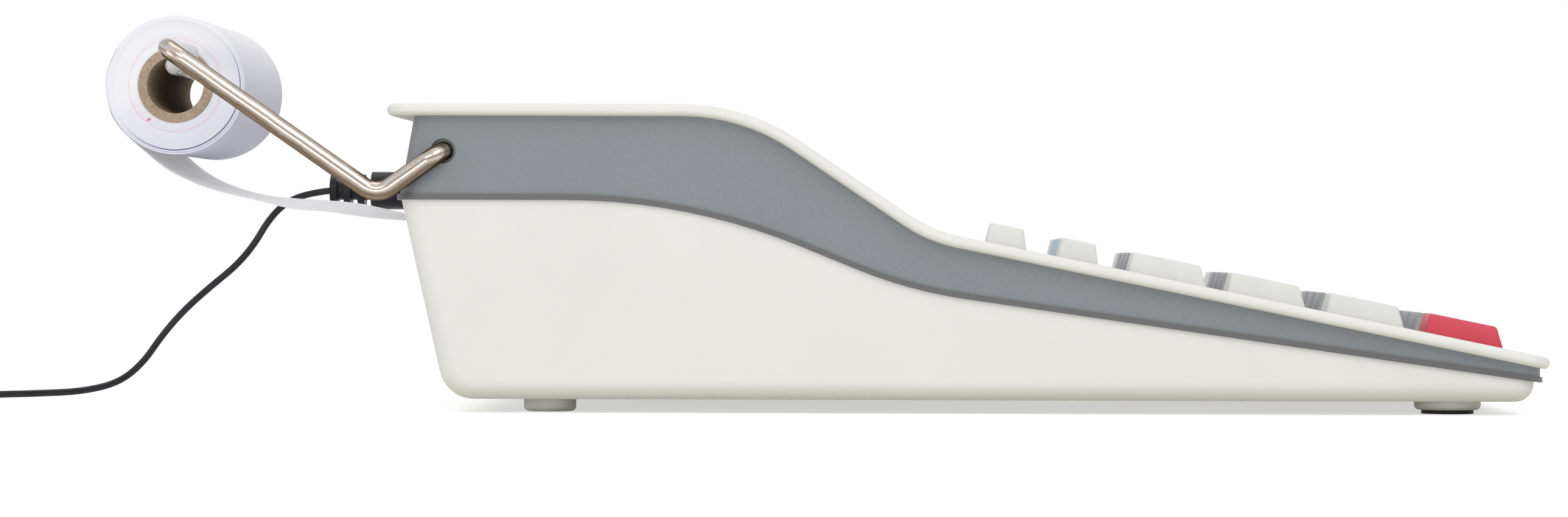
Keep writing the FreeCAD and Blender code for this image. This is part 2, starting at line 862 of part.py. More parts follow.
def make_keyboard():
    long = d.keyboard_front - d.keyboard_rear
    board_n = -keyboard_n()
    mat = slope_box(keyboard, -d.mat_wide / 2, d.keyboard_front, board_n, d.mat_wide, long, d.mat_thick)
    keep(mat, "key_mat")
    low = board_n - d.keyboard_thick
    wide = d.keyboard_wide
    plate = slope_box(keyboard, -wide / 2, d.keyboard_front, low, wide, long, d.keyboard_thick)
    keep(plate, "keyboard_board")
    back, up = keyboard.at(d.keyboard_rear + d.ribbon_wide / 2, low)
    bottom = d.board_height + d.board_thick
    tall = up - bottom - d.ribbon_gap
    keep(box(-d.ribbon_wide / 2, back, bottom, d.ribbon_wide, d.ribbon_thick, tall), "ribbon_cable")
    deep = d.board_rear - d.board_front
    board = box(-d.board_wide / 2, d.board_front, d.board_height, d.board_wide, deep, d.board_thick)
    keep(board, "main_board")


def make_display():
    wide = d.window_wide
    long = d.window_long
    u_front = d.window_place + long / 2
    pane_tall = d.cover_thick - d.window_sunk
    pane = slope_box(display, -wide / 2, u_front, -d.cover_thick, wide, long, pane_tall)
    lip = d.window_lip
    lip_low = -d.cover_thick - d.window_lip_thick
    flange = slope_box(
        display, -wide / 2 - lip, u_front + lip, lip_low, wide + 2 * lip, long + 2 * lip, d.window_lip_thick
    )
    keep(fuse(pane, flange), "display_window")
    panel_low = lip_low - d.panel_thick
    keep(slope_box(display, -wide / 2, u_front, panel_low, wide, long, d.panel_thick), "display_panel")


def gear(x, back, height, teeth, phase, bore=None):
    """A spur gear with straight-flanked teeth, thinned for backlash."""
    module = d.gear_module.value
    pitch_radius = module * teeth / 2
    thin = d.gear_backlash.value / pitch_radius
    step = 2 * math.pi / teeth
    corners = []
    for tooth in range(teeth):
        middle = phase + tooth * step
        left = [(pitch_radius + r * module, middle - share * step + thin / 2) for r, share in TOOTH_FLANK]
        right = [(radius, 2 * middle - angle) for radius, angle in reversed(left)]
        for radius, angle in left + right:
            corners.append(Vector(x, back + radius * math.cos(angle), height + radius * math.sin(angle)))
    corners.append(corners[0])
    blank = Part.Face(Part.makePolygon(corners)).extrude(Vector(d.gear_thick.value, 0, 0))
    if bore is None:
        return blank
    hole = Part.makeCylinder(bore / 2, d.gear_thick.value, Vector(x, back, height), Vector(1, 0, 0))
    return blank.cut(hole)


def solid(shape, label):
    obj = doc.addObject("Part::Feature", "Formed")
    obj.Shape = shape
    return keep(obj, label)


def make_printer():
    half = d.printer_wide / 2
    plate = d.printer_plate
    deep = d.printer_rear - d.printer_front
    floor = box(-half, d.printer_front, d.printer_floor, d.printer_wide, deep, plate)
    tall = d.printer_top - d.printer_floor
    sides = [
        box(x, d.printer_front, d.printer_floor, plate, deep, tall) for x in (-half, half - plate)
    ]
    shaft_bore = d.shaft_size + 2 * d.run_gap
    through = d.printer_wide
    motor_height = motor_axis_height()
    holes = [
        rod("X", -half, d.platen_back, d.platen_height, shaft_bore, through),
        rod("X", -half, d.rod_back, d.rod_height, d.shaft_size, through),
        rod("X", 0, d.motor_back, motor_height, d.motor_shaft + 2 * d.motor_shaft_room, half),
    ]
    keep(cut(fuse(floor, *sides), group(*holes)), "printer_frame")
    keep(rod("X", -half, d.rod_back, d.rod_height, d.shaft_size, through), "carriage_rod")
    shaft_start = -half - plate
    shaft_long = gear_start + d.gear_thick - shaft_start
    shaft = rod("X", shaft_start, d.platen_back, d.platen_height, d.shaft_size, shaft_long)
    rubber = rod("X", -d.platen_long / 2, d.platen_back, d.platen_height, d.platen_size, d.platen_long)
    keep(fuse(shaft, rubber), "platen_roller")
    teeth = int(d.gear_teeth.value)
    pinion_teeth = int(d.pinion_teeth.value)
    line = math.atan2(motor_height.value - d.platen_height.value, d.motor_back.value - d.platen_back.value)
    wheel = gear(
        gear_start.value, d.platen_back.value, d.platen_height.value, teeth, line, d.shaft_size.value
    )
    solid(wheel, "platen_gear")
    facing = line + math.pi + math.pi / pinion_teeth
    small = gear(gear_start.value, d.motor_back.value, motor_height.value, pinion_teeth, facing)
    spindle_start = half.value - plate.value - d.motor_long.value / 2
    spindle = Part.makeCylinder(
        d.motor_shaft.value / 2,
        gear_start.value - spindle_start,
        Vector(spindle_start, d.motor_back.value, motor_height.value),
        Vector(1, 0, 0),
    )
    solid(small.fuse(spindle), "motor_pinion")
    motor_start = half - plate - d.motor_long
    can = rod("X", motor_start, d.motor_back, motor_height, d.motor_size, d.motor_long)
    bearing = rod(
        "X",
        motor_start + d.motor_long / 2 - d.motor_end_room,
        d.motor_back,
        motor_height,
        d.motor_shaft + 2 * d.run_gap,
        d.motor_long / 2 + d.motor_end_room,
    )
    keep(cut(can, bearing), "printer_motor")
    make_carriage()


def motor_axis_height():
    """The motor hangs below the platen at the two gears' working distance."""
    distance = d.gear_module * (d.gear_teeth + d.pinion_teeth) / 2
    across = d.platen_back - d.motor_back
    drop = Size(
        math.sqrt(distance.value**2 - across.value**2),
        f"sqrt({distance.text} * {distance.text} - {across.text} * {across.text})",
    )
    return d.platen_height - drop


def make_carriage():
    wide = d.carriage_wide
    left = d.printer_plate + d.carriage_park - d.printer_wide / 2
    front = d.rod_back - d.carriage_deep / 2
    low = d.rod_height - d.carriage_tall / 2
    block = box(left, front, low, wide, d.carriage_deep, d.carriage_tall)
    cheek_tall = d.ink_height + d.ink_pin - low
    cheek_front = d.rod_back - d.ink_pin
    cheeks = [
        box(x, cheek_front, low, d.cheek_thick, 2 * d.ink_pin, cheek_tall)
        for x in (left, left + wide - d.cheek_thick)
    ]
    bores = [
        rod("X", left, d.rod_back, d.rod_height, d.shaft_size + 2 * d.run_gap, wide),
        rod("X", left, d.rod_back, d.ink_height, d.ink_pin + 2 * d.run_gap, wide),
    ]
    keep(cut(fuse(block, *cheeks), group(*bores)), "print_carriage")
    ink_long = wide - 2 * d.cheek_thick - 2 * d.ink_room
    ink_start = left + d.cheek_thick + d.ink_room
    pin = rod("X", left, d.rod_back, d.ink_height, d.ink_pin, wide)
    keep(fuse(pin, rod("X", ink_start, d.rod_back, d.ink_height, d.ink_size, ink_long)), "ink_roller")


def make_lid():
    wide = d.bay_wide - 2 * d.lid_gap
    back, height = lid_axis()
    low = d.flat_top - d.lid_thick
    leaf = box(-wide / 2, back, low, wide, d.lid_rear - back, d.lid_thick)
    knuckle = rod("X", -wide / 2, back, height, d.lid_thick, wide)
    pin_long = wide + 2 * d.lid_pin_long
    pin = rod("X", -pin_long / 2, back, height, d.lid_pin, pin_long)
    keep(fuse(leaf, knuckle, pin), "printer_cover")
    bar_low = d.flat_top - d.bar_tall
    bar_front = d.bay_rear - d.bar_thick
    keep(box(-d.bay_wide / 2, bar_front, bar_low, d.bay_wide, d.bar_thick, d.bar_tall), "tear_bar")


def make_screws_and_pads():
    screws = []
    for x, back, _ in screw_spots:
        seat = d.case_bottom + d.screw_recess
        head = rod("Z", x, back, seat - d.screw_head_tall, d.screw_head, d.screw_head_tall)
        shank = rod("Z", x, back, seat - d.screw_head_tall / 2, d.screw_shank, d.screw_length)
        screws.append(fuse(head, shank))
    keep(group(*screws), "case_screws")
    pads = [rod("Z", side * d.foot_side, d.front_foot_back, 0, d.pad_size, d.pad_thick) for side in (-1, 1)]
    keep(group(*pads), "foot_pads")


def make_roll():
    half = d.roll_wide / 2
    paper = rod("X", -half, d.roll_back, d.roll_height, d.roll_size, d.roll_wide)
    paper_bore = rod("X", -half, d.roll_back, d.roll_height, d.core_size, d.roll_wide)
    keep(cut(paper, paper_bore), "paper_roll")
    core = rod("X", -half, d.roll_back, d.roll_height, d.core_size, d.roll_wide)
    core_bore = rod("X", -half, d.roll_back, d.roll_height, d.core_bore, d.roll_wide)
    keep(cut(core, core_bore), "roll_core")


def make_strip():
    """The paper from the roll's lower rear, round a soft dip, through the slot to the platen."""
    leave = math.radians(d.strip_leave.value)
    radius = d.roll_size.value / 2 + d.strip_gap.value + d.strip_thick.value / 2
    start = Vector(
        0, d.roll_back.value + radius * math.cos(leave), d.roll_height.value - radius * math.sin(leave)
    )
    dip = start + Vector(0, -math.sin(leave), -math.cos(leave)) * d.strip_dip.value
    slot = Vector(0, d.case_rear_top.value, d.slot_height.value)
    fall = (slot - dip).normalize()
    end = slot + fall * ((d.strip_end.value - slot.y) / fall.y)
    side = Vector(-d.roll_wide.value / 2, 0, 0)
    path = rounded_path([start + side, dip + side, end + side])
    normal = Vector(0, math.cos(leave), -math.sin(leave)) * (d.strip_thick.value / 2)
    across = Vector(d.roll_wide.value, 0, 0)
    first = start + side
    ring = [first - normal, first + normal, first + normal + across, first - normal + across]
    section = Part.makePolygon(ring + ring[:1])
    solid(Part.Wire(path).makePipeShell([section], True, False), "paper_strip")


def rounded_path(points, radii=None):
    """Straight runs joined by tangent arcs, each arc as large as its runs allow or of a set radius."""
    edges = []
    last = points[0]
    for i, (before, corner, after) in enumerate(zip(points, points[1:], points[2:])):
        into = (corner - before).normalize()
        out = (after - corner).normalize()
        half_turn = into.getAngle(out) / 2
        shorter = min((corner - before).Length, (after - corner).Length)
        trim = CORNER_SHARE * shorter if radii is None else radii[i] * math.tan(half_turn)
        first = corner - into * trim
        final = corner + out * trim
        inward = (out - into).normalize()
        arc_radius = trim / math.tan(half_turn)
        middle = corner + inward * (arc_radius / math.cos(half_turn) - arc_radius)
        edges.append(Part.LineSegment(last, first).toShape())
        edges.append(Part.Arc(first, middle, final).toShape())
        last = final
    edges.append(Part.LineSegment(last, points[-1]).toShape())
    return edges


def tube(edges, diameter, label):
    """A round solid along a path, with its volume compared with section times length."""
    spine = Part.Wire(edges)
    start = edges[0].valueAt(edges[0].FirstParameter)
    heading = edges[0].tangentAt(edges[0].FirstParameter)
    section = Part.Wire([Part.makeCircle(diameter / 2, start, heading)])
    shape = spine.makePipeShell([section], True, False)
    share = shape.Volume / (math.pi * diameter**2 / 4 * spine.Length)
    print(f"{label}: {spine.Length:.1f} mm long, volume over section times length {share:.4f}")
    return shape


def axle_spot():
    rise = d.core_bore / 2 - d.wire_size / 2 - d.axle_gap
    return d.roll_back, d.roll_height + rise


def make_holder():
    """One bent wire: pivot end, elbow, arm, inward run, joggle, axle through the roll and a turned-up end."""
    arm = d.band_width.value / 2 + d.arm_gap.value + d.wire_size.value / 2
    pivot_end = inner_half.value - d.pivot_boss_long.value
    axle_back, axle_height = axle_spot()
    axle_half = d.roll_wide.value / 2 + d.axle_room.value
    top = (d.arm_top_back.value, d.arm_top_height.value)
    joggle = axle_half + d.joggle_long.value
    corners = [
        Vector(-pivot_end, d.pivot_back.value, d.pivot_height.value),
        Vector(-arm, d.pivot_back.value, d.pivot_height.value),
        Vector(-arm, d.elbow_back.value, d.elbow_height.value),
        Vector(-arm, *top),
        Vector(-joggle, *top),
        Vector(-axle_half, axle_back.value, axle_height.value),
        Vector(axle_half, axle_back.value, axle_height.value),
        Vector(joggle, *top),
    ]
    bends = [d.pivot_bend.value] + [d.wire_bend.value] * (len(corners) - 3)
    path = rounded_path(corners, bends)
    solid(tube(path, d.wire_size.value, "holder_wire"), "holder_wire")


def make_power():
    jack_half = d.jack_wide / 2
    jack = box(
        jack_side - jack_half,
        d.jack_face - d.jack_deep,
        d.jack_height - jack_half,
        d.jack_wide,
        d.jack_deep,
        d.jack_wide,
    )
    socket_long = d.barrel_long + d.plug_gap
    socket = rod(
        "Y", jack_side, d.jack_face - socket_long, d.jack_height, d.barrel_size + 2 * d.run_gap, socket_long
    )
    keep(cut(jack, socket), "dc_jack")
    face = d.jack_face + d.plug_gap
    barrel = rod("Y", jack_side, face - d.barrel_long, d.jack_height, d.barrel_size, d.barrel_long)
    grip = rod("Y", jack_side, face, d.jack_height, d.plug_size, d.plug_body_end - face)
    tail = rod("Y", jack_side, d.plug_body_end, d.jack_height, d.plug_tail, d.plug_end - d.plug_body_end)
    pitch = (d.plug_end - d.plug_body_end) / (2 * d.plug_slots)
    slots = []
    count = int(d.plug_slots.value)
    for i in range(count):
        back = d.plug_body_end + pitch * (2 * i)
        ring = rod("Y", jack_side, back, d.jack_height, d.plug_size, pitch)
        neck = rod("Y", jack_side, back, d.jack_height, d.plug_tail - 2 * d.plug_slot_deep, pitch)
        slots.append(cut(ring, neck))
    keep(cut(fuse(barrel, grip, tail), group(*slots)), "dc_plug")


def tangent_arc(start, heading, end):
    """The arc that leaves start along heading and reaches end, and its heading there."""
    chord = end - start
    along = Vector(chord).normalize()
    lean = heading - along * heading.dot(along)
    half_turn = heading.getAngle(along)
    bulge = Vector(lean).normalize() * (chord.Length / 2 * math.tan(half_turn / 2))
    arc = Part.Arc(start, start + chord * 0.5 + bulge, end).toShape()
    return arc, along * (2 * heading.dot(along)) - heading


def coil_path(start):
    """Flat spirals of half turns, in and out again, climbing one layer where each spiral reverses."""
    pitch = d.cord_size.value + d.coil_room.value
    step = pitch / 2
    halves = int(2 * d.coil_turns.value)
    layers = int(d.coil_layers.value)
    turns = []
    for layer in range(layers):
        radii = [d.coil_out.value - step * k for k in range(halves)]
        if layer % 2:
            radii.reverse()
        turns += [(radius, 0.0) for radius in radii]
        if layer < layers - 1:
            edge = d.coil_out.value + step if layer % 2 else d.coil_out.value - step * halves
            turns.append((edge, pitch))
    turns.append((d.coil_out.value + step, 0.0))
    lead_in = d.cord_size.value
    point = start + Vector(0, lead_in, 0)
    edges = [Part.LineSegment(start, point).toShape()]
    side = 1
    for radius, climb in turns:
        centre = point + Vector(-side * radius, 0, climb / 2)
        reach = math.sqrt(radius**2 + climb**2 / 4)
        top = centre + Vector(0, side * reach, 0)
        end = point + Vector(-side * 2 * radius, 0, climb)
        arc, heading = tangent_arc(point, Vector(0, side, 0), top)
        edges.append(arc)
        edges.append(tangent_arc(top, heading, end)[0])
        point = end
        side = -side
    last = point + Vector(0, side * lead_in, 0)
    edges.append(Part.LineSegment(point, last).toShape())
    return edges, last, side


def self_gap(edges, diameter):
    """Least gap of a wound tube to itself, on points a fifth of a diameter apart."""
    spacing = diameter / 5
    points = []
    for edge in edges:
        count = max(2, int(edge.Length / spacing))
        points += edge.discretize(count + 1)[:-1]
    apart = int(2.5 * diameter / spacing)
    cells = {}
    size = 2 * diameter
    least = size
    for i, p in enumerate(points):
        home = (int(p.x // size), int(p.y // size), int(p.z // size))
        for dx in (-1, 0, 1):
            for dy in (-1, 0, 1):
                for dz in (-1, 0, 1):
                    for j, q in cells.get((home[0] + dx, home[1] + dy, home[2] + dz), ()):
                        if i - j > apart:
                            least = min(least, p.distanceToPoint(q))
        cells.setdefault(home, []).append((i, p))
    return least - diameter


def print_radii(points, label):
    radii = []
    for before, corner, after in zip(points, points[1:], points[2:]):
        half_turn = (corner - before).getAngle(after - corner) / 2
        shorter = min((corner - before).Length, (after - corner).Length)
        radii.append(CORNER_SHARE * shorter / math.tan(half_turn))
    print(label, "radii", " ".join(f"{r:.0f}" for r in radii))


def make_cord():
    size = d.cord_size.value
    tip = Vector(jack_side.value, d.plug_end.value, d.jack_height.value)
    run = [tip] + [Vector(tip.x + x, y, z) for x, y, z in RUN_ROUTE]
    print_radii(run, "cord_run")
    solid(tube(rounded_path(run), size, "cord_run"), "cord_run")
    edges, last, side = coil_path(run[-1])
    print(f"cord_coil least gap to itself {self_gap(edges, size):.2f} mm")
    solid(tube(edges, size, "cord_coil"), "cord_coil")
    lead = [last] + [last + Vector(*p) for p in LEAD_DROP + LEAD_END]
    print_radii(lead, "adapter_lead")
    solid(tube(rounded_path(lead), size, "adapter_lead"), "adapter_lead")
    make_adapter(lead[-1])


def make_adapter(entry):
    body = new_body("AdapterBody")
    shell = body.newObject("PartDesign::AdditiveBox", "Shell")
    bind(shell, Length=d.adapter_wide, Width=d.adapter_deep, Height=d.adapter_tall)

    def upright(edge):
        ends = [v.Point for v in edge.Vertexes]
        return abs(ends[0].z - ends[1].z) > NEAR

    round_edges(body, d.adapter_round, upright)
    place(body, entry.x, entry.y - d.adapter_deep / 2, 0)
    prongs = []
    for side in (-1, 1):
        middle = entry.y + side * d.prong_apart / 2
        prongs.append(
            box(
                entry.x + d.adapter_wide - d.prong_root,
                middle - d.prong_thick / 2,
                d.adapter_tall / 2 - d.prong_wide / 2,
                d.prong_long + d.prong_root,
                d.prong_thick,
                d.prong_wide,
            )
        )
    keep(fuse(body, *prongs), "power_adapter")


def check_and_write():
    doc.recompute()
    for obj in doc.Objects:
        bad = {"Invalid", "Error"} & set(obj.State)
        if bad:
            raise RuntimeError(f"{obj.Name} ({obj.Label}) is {bad}")
    os.makedirs("parts", exist_ok=True)
    for obj in parts:
        shape = obj.Shape
        if shape.isNull() or not shape.isValid():
            raise RuntimeError(f"{obj.Label} has no valid shape")
        print(f"{obj.Label}: {len(shape.Solids)} solids, {shape.Volume:.1f} mm3")
        shape.exportStep(f"parts/{obj.Label}.step")
    print(len(parts), "sub-parts")


make_lower_case()
make_middle_band()
make_upper_cover()
make_keys()
make_keyboard()
make_display()
make_printer()
make_lid()
make_screws_and_pads()
make_roll()
make_strip()
make_holder()
make_power()
make_cord()
check_and_write()
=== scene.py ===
import bmesh
import bpy
import json
import math
from mathutils import Euler, Matrix, Vector


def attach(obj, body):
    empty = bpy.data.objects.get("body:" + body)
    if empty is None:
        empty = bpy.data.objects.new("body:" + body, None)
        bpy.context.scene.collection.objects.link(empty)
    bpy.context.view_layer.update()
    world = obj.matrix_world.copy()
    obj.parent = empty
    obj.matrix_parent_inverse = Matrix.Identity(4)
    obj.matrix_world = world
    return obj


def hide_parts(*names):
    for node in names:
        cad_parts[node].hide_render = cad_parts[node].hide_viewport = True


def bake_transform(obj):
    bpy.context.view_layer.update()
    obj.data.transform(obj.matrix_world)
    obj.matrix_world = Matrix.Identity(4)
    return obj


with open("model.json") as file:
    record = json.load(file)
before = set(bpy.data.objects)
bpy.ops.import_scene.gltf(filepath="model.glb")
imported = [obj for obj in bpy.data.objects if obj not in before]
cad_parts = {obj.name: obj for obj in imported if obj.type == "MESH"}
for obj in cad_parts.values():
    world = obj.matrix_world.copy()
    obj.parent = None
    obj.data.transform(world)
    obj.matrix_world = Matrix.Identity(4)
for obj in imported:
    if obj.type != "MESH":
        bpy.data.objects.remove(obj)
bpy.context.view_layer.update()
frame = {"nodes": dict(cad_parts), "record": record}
scene = bpy.context.scene
record = frame["record"]
nodes = frame["nodes"]
MM = 0.001


# Camera

CAMERA_PLACE = (-0.998, -0.0246, 0.0323)
CAMERA_ROLL = 0.003


def make_camera():
    """The photograph's view: level with the case, square to its left side."""
    data = bpy.data.cameras.new("camera")
    data.sensor_fit = "HORIZONTAL"
    data.sensor_width = 36.0
    data.lens = 102.72
    data.shift_x = -0.092
    data.clip_start = 0.01
    data.clip_end = 50.0
    camera = bpy.data.objects.new("camera", data)
    scene.collection.objects.link(camera)
    look = Euler((math.pi / 2, 0, -math.pi / 2)).to_matrix().to_4x4()
    roll = Matrix.Rotation(CAMERA_ROLL, 4, "Z")
    camera.matrix_world = Matrix.Translation(CAMERA_PLACE) @ look @ roll
    scene.camera = camera


make_camera()


# Node helpers

class Shader:
    """A material's node tree with short ways to add nodes and links."""

    def __init__(self, name):
        self.material = bpy.data.materials.new(name)
        self.material.use_nodes = True
        self.tree = self.material.node_tree
        self.bsdf = self.tree.nodes["Principled BSDF"]
        self.coords = None

    def add(self, kind, **settings):
        node = self.tree.nodes.new("ShaderNode" + kind)
        for key, value in settings.items():
            setattr(node, key, value)
        return node

    def link(self, source, target):
        self.tree.links.new(source, target)

    def place(self):
        """Object coordinates, in metres."""
        if self.coords is None:
            self.coords = self.add("TexCoord").outputs["Object"]
        return self.coords

    def parts(self, vector):
        """The X, Y and Z of a vector, by name."""
        split = self.add("SeparateXYZ")
        self.link(vector, split.inputs["Vector"])
        return split.outputs

    def facing(self):
        """The way the surface faces, in the piece's own axes."""
        return self.parts(self.add("TexCoord").outputs["Normal"])

    def stretched(self, scale, centre=(0, 0, 0)):
        """Object coordinates about a centre, scaled by axis."""
        mapping = self.add("Mapping", vector_type="POINT")
        mapping.inputs["Location"].default_value = tuple(-c * s for c, s in zip(centre, scale))
        mapping.inputs["Scale"].default_value = scale
        self.link(self.place(), mapping.inputs["Vector"])
        return mapping.outputs["Vector"]

    def noise(self, scale, detail=3.0, rough=0.5, vector=None):
        node = self.add("TexNoise")
        node.inputs["Scale"].default_value = scale
        node.inputs["Detail"].default_value = detail
        node.inputs["Roughness"].default_value = rough
        self.link(vector or self.place(), node.inputs["Vector"])
        return node.outputs["Fac"]

    def ramp(self, source, stops):
        node = self.add("ValToRGB")
        elements = node.color_ramp.elements
        while len(elements) < len(stops):
            elements.new(0.5)
        for element, (position, colour) in zip(elements, stops):
            element.position = position
            element.color = (*colour, 1.0)
        self.link(source, node.inputs["Fac"])
        return node.outputs["Color"]

    def span(self, source, low, high, to_low, to_high):
        """A value taken from one range to another and held at its ends."""
        node = self.add("MapRange")
        for key, value in zip(("From Min", "From Max", "To Min", "To Max"), (low, high, to_low, to_high)):
            node.inputs[key].default_value = value
        self.link(source, node.inputs["Value"])
        return node.outputs["Result"]

    def math(self, operation, first, second=0.0):
        node = self.add("Math", operation=operation)
        for socket, value in zip(node.inputs, (first, second)):
            if isinstance(value, (int, float)):
                socket.default_value = value
            else:
                self.link(value, socket)
        return node.outputs["Value"]

    def mix(self, factor, first, second, blend="MIX"):
        node = self.add("Mix", data_type="RGBA", blend_type=blend)
        sockets = [s for s in node.inputs if s.type == "RGBA"]
        for socket, value in zip(sockets, (first, second)):
            if isinstance(value, tuple):
                socket.default_value = (*value, 1.0)
            else:
                self.link(value, socket)
        if isinstance(factor, (int, float)):
            node.inputs["Factor"].default_value = factor
        else:
            self.link(factor, node.inputs["Factor"])
        return [s for s in node.outputs if s.type == "RGBA"][0]

    def bump(self, height, strength, distance, below=None):
        node = self.add("Bump")
        node.inputs["Strength"].default_value = strength
        node.inputs["Distance"].default_value = distance
        self.link(height, node.inputs["Height"])
        if below is not None:
            self.link(below, node.inputs["Normal"])
        return node.outputs["Normal"]

    def length(self, vector):
        node = self.add("VectorMath", operation="LENGTH")
        self.link(vector, node.inputs[0])
        return node.outputs["Value"]

    def blot(self, centre, radii, turn=0.0):
        """One inside an ellipsoid in object coordinates, falling to nought at its edge."""
        mapping = self.add("Mapping", vector_type="TEXTURE")
        mapping.inputs["Location"].default_value = tuple(c * MM for c in centre)
        mapping.inputs["Rotation"].default_value = (turn, 0, 0)
        mapping.inputs["Scale"].default_value = tuple(r * MM for r in radii)
        self.link(self.place(), mapping.inputs["Vector"])
        return self.span(self.length(mapping.outputs["Vector"]), 0.3, 1.0, 1.0, 0.0)

    def set(self, **values):
        """Set or link the surface's inputs and give back the material."""
        for key, value in values.items():
            socket = self.bsdf.inputs[key.replace("_", " ")]
            if isinstance(value, (int, float)):
                socket.default_value = value
            elif isinstance(value, tuple):
                socket.default_value = (*value, 1.0)
            else:
                self.link(value, socket)
        return self.material


def shade(colour, factor):
    """A colour made darker or lighter."""
    return tuple(min(1.0, c * factor) for c in colour)


BAND_HALF_WIDE = 70.2 * MM
BAND_HALF_LONG = 118.85 * MM
BAND_MIDDLE = -33.25 * MM
BAND_CORNER = 4.0 * MM
BEAD_START = 0.15 * MM
BEAD_FULL = 0.3 * MM


def painted_bead_shade_mask(s):
    """1 on the bead that stands proud round the foot of the middle band, 0 on the band's own walls: where the
    bead's painted shade goes.
    """
    place = s.parts(s.place())
    over = []
    for value, middle, half in ((place["X"], 0.0, BAND_HALF_WIDE), (place["Y"], BAND_MIDDLE, BAND_HALF_LONG)):
        away = s.math("ABSOLUTE", s.math("SUBTRACT", value, middle))
        past = s.math("MAXIMUM", s.math("SUBTRACT", away, half - BAND_CORNER), 0.0)
        over.append(s.math("MULTIPLY", past, past))
    reach = s.math("SQRT", s.math("ADD", over[0], over[1]))
    return s.span(reach, BAND_CORNER + BEAD_START, BAND_CORNER + BEAD_FULL, 0.0, 1.0)


def moulded(
    name, colour, under=None, bead=None, grain=0.00035, depth=0.00004, rough=0.5, speckle=0.05, strength=0.5,
    gloss=0.45,
):
    """Spark-textured moulded plastic: a fine pitted grain, faint flow marks and lighter specks.

    It takes the painted shade `under`, a darker, warmer tone, where it faces down, and the painted shade
    `bead` on the middle band's bead.
    """
    s = Shader(name)
    fine = s.noise(1 / grain, detail=2.0, rough=0.6)
    flow = s.noise(28.0, detail=4.0, rough=0.55)
    dust = s.noise(420.0, detail=1.0)
    tone = s.ramp(flow, [(0.3, shade(colour, 0.975)), (0.7, shade(colour, 1.02))])
    grains = s.span(fine, 0.35, 0.7, 0.0, 1.0)
    tone = s.mix(s.math("MULTIPLY", grains, speckle), tone, shade(colour, 1.6))
    if under:
        # Painted shade: faces that point down take the darker, warmer tone `under`.
        tone = s.mix(s.span(s.facing()["Z"], -0.1, -0.9, 0.0, 1.0), tone, under)
    if bead:
        # Painted shade: the bead takes the darker tone `bead` in place of the shade on its face.
        tone = s.mix(painted_bead_shade_mask(s), tone, bead)
    normal = s.bump(fine, strength, depth)
    normal = s.bump(dust, 0.12, 0.0001, normal)
    shine = s.span(fine, 0.3, 0.7, rough - 0.07, rough + 0.09)
    return s.set(Base_Color=tone, Roughness=shine, Normal=normal, Specular_IOR_Level=gloss)


def satin(name, colour, rough=0.42):
    """Smooth satin key plastic with a very fine grain, an uneven tone and uneven shine."""
    s = Shader(name)
    fine = s.noise(3600.0, detail=2.0)
    cloud = s.noise(160.0, detail=3.0)
    tone = s.ramp(cloud, [(0.32, shade(colour, 0.965)), (0.68, shade(colour, 1.025))])
    normal = s.bump(fine, 0.25, 0.00002)
    shine = s.span(cloud, 0.3, 0.7, rough - 0.06, rough + 0.06)
    return s.set(Base_Color=tone, Roughness=shine, Normal=normal, Specular_IOR_Level=0.45)


def drawn_metal(name, colour, rough, streak=(60, 4000, 4000), dark=0.7):
    """Drawn or rolled metal: streaks along X, small pits and uneven polish."""
    s = Shader(name)
    lines = s.noise(1.0, detail=3.0, vector=s.stretched(streak))
    spots = s.noise(900.0, detail=2.0)
    cloud = s.noise(90.0, detail=3.0)
    tone = s.ramp(cloud, [(0.3, shade(colour, dark)), (0.7, colour)])
    shine = s.span(lines, 0.3, 0.7, rough - 0.05, rough + 0.12)
    normal = s.bump(lines, 0.12, 0.00003)
    normal = s.bump(spots, 0.08, 0.00004, normal)
    return s.set(Base_Color=tone, Metallic=1.0, Roughness=shine, Normal=normal)


# Painted reflections and shade on the wire, by how far its surface faces up: dark brown below, pale highlight
# bands above.
WIRE_PAINTED_LIGHT_TONES = [
    (0.10, (0.24, 0.187, 0.14)), (0.26, (0.13, 0.10, 0.072)), (0.36, (0.28, 0.226, 0.178)),
    (0.48, (0.52, 0.455, 0.40)), (0.60, (0.33, 0.275, 0.23)), (0.68, (0.62, 0.58, 0.535)),
    (0.90, (0.42, 0.363, 0.31)),
]
SLEEVE_TONE = (0.78, 0.79, 0.79)
PIT_TONE = (0.20, 0.15, 0.11)
ELBOW_LEAN = -0.65


